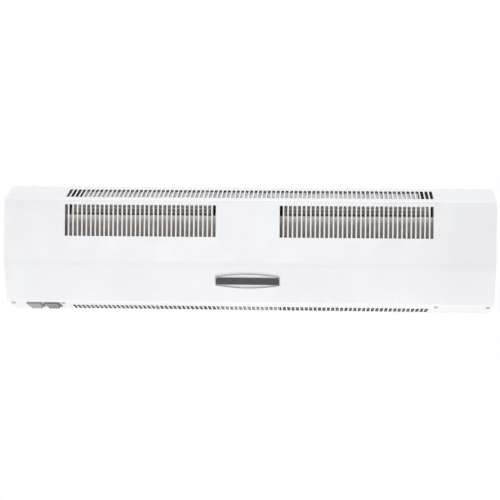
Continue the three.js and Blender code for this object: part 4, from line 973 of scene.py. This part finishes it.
# %% Screws in their places
COVER_SCREW, CLAMP_SCREW = 9, 9.7
CLAMP_SCREW_X = (-357, -333)
CLAMP_FRONT, CLAMP_MIDDLE = -11.5, 72.5
for number, x in enumerate(SCREW_X, start=1):
    spot = Matrix.Translation((x * MM, -SCREW_FROM_FOLD * MM, 0))
    screw_at(f"cover_screw_{number}", COVER_SCREW, face_frame(BOTTOM_FACE) @ spot)
facing_front = Matrix.Rotation(math.pi / 2, 4, "X")
for number, x in enumerate(CLAMP_SCREW_X, start=1):
    spot = Matrix.Translation((x * MM, CLAMP_FRONT * MM, CLAMP_MIDDLE * MM))
    screw_at(f"clamp_screw_{number}", CLAMP_SCREW, spot @ facing_front)
fold_y, top_z = CORNERS[TOP_FACE]
spot = Matrix.Translation((EARTH_X * MM, (fold_y + EARTH_FROM_FOLD) * MM, top_z * MM))
screw_at("cover_earth_screw", COVER_SCREW, spot, "cover_paint")
print("drove", len(SCREW_X) + len(CLAMP_SCREW_X) + 1, "screws")

# %% [markdown]
# ## Stage and light
#
# A pale floor lies well below the unit, as in a room, and the world is a plain white studio. What the camera
# sees of both is white, and what falls on the unit is a softer light, so the white paint keeps its shape.
# Three soft boxes shine on it: a long one far in front, a wide one above, and a faint one low down, which
# stands for what a pale floor sends up. All of this section is in metres and watts.

# %% Stage
FLOOR_BELOW = 1.3
FLOOR_HALF = 4.0
FLOOR_DRIFT = 400
FLOOR_GLOW = 0.8
STUDIO_LIGHT = 0.25
UNIT = Vector((0, 0, 0))
# Each soft box: its place, its width and height, and its power.
SOFT_BOXES = {
    "front_box": ((-0.25, -2.8, -0.05), (1.8, 0.3), 28),
    "top_box": ((0, -0.5, 2.1), (1.8, 0.9), 30.5),
    "low_box": ((0.1, -0.45, -1.25), (1.8, 0.5), 10.6),
}


def seen_directly(tree):
    """1 for a ray from the camera and for one that a glossy or clear surface sends on, else 0."""
    rays = add_node(tree, "ShaderNodeLightPath").outputs
    seen = rays["Is Camera Ray"]
    for kind in ("Is Glossy Ray", "Is Transmission Ray"):
        seen = add_node(tree, "ShaderNodeMath", {0: seen, 1: rays[kind]}, operation="MAXIMUM").outputs[0]
    return seen


def studio_world():
    world = bpy.data.worlds.new("studio")
    world.use_nodes = True
    tree = world.node_tree
    tree.nodes.clear()
    soft, white = (
        add_node(tree, "ShaderNodeBackground", {"Color": linear("#FFFFFF"), "Strength": strength}).outputs[0]
        for strength in (STUDIO_LIGHT, 1.0))
    both = add_node(tree, "ShaderNodeMixShader", {0: seen_directly(tree), 1: soft, 2: white})
    add_node(tree, "ShaderNodeOutputWorld", {"Surface": both.outputs[0]})
    return world


def studio_floor():
    """Pale matt floor, with a glow that only a direct look sees, so it is white beside its shadows."""
    shape = bmesh.new()
    bmesh.ops.create_grid(shape, x_segments=1, y_segments=1, size=FLOOR_HALF)
    bmesh.ops.translate(shape, verts=shape.verts, vec=(0, 0, -FLOOR_BELOW))
    mesh = bpy.data.meshes.new("floor")
    shape.to_mesh(mesh)
    shape.free()
    floor = bpy.data.objects.new("floor", mesh)
    bpy.context.scene.collection.objects.link(floor)
    finish, tree, shader = new_finish("pale_floor")
    drift = spread(tree, noise(tree, surface(tree), FLOOR_DRIFT), 0, 1)
    tree.links.new(blend_colours(tree, drift, "#F2F2F2", "#F6F6F6"), shader.inputs["Base Color"])
    shader.inputs["Roughness"].default_value = 0.9
    glow = add_node(
        tree, "ShaderNodeMath", {0: seen_directly(tree), 1: FLOOR_GLOW}, operation="MULTIPLY")
    tree.links.new(glow.outputs[0], shader.inputs["Emission Strength"])
    shader.inputs["Emission Color"].default_value = linear("#FFFFFF")
    mesh.materials.append(finish)


def soft_box(name, spot, size, watts):
    lamp = bpy.data.objects.new(name, bpy.data.lights.new(name, "AREA"))
    lamp.data.shape = "RECTANGLE"
    lamp.data.size, lamp.data.size_y = size
    lamp.data.energy = watts
    lamp.visible_camera = False
    lamp.location = spot
    lamp.rotation_euler = (UNIT - Vector(spot)).to_track_quat("-Z", "Y").to_euler()
    bpy.context.scene.collection.objects.link(lamp)


bpy.context.scene.world = studio_world()
bpy.context.scene.view_settings.view_transform = "Standard"
studio_floor()
for name, (spot, size, watts) in SOFT_BOXES.items():
    soft_box(name, spot, size, watts)
print("the studio is lit by", len(SOFT_BOXES), "soft boxes")
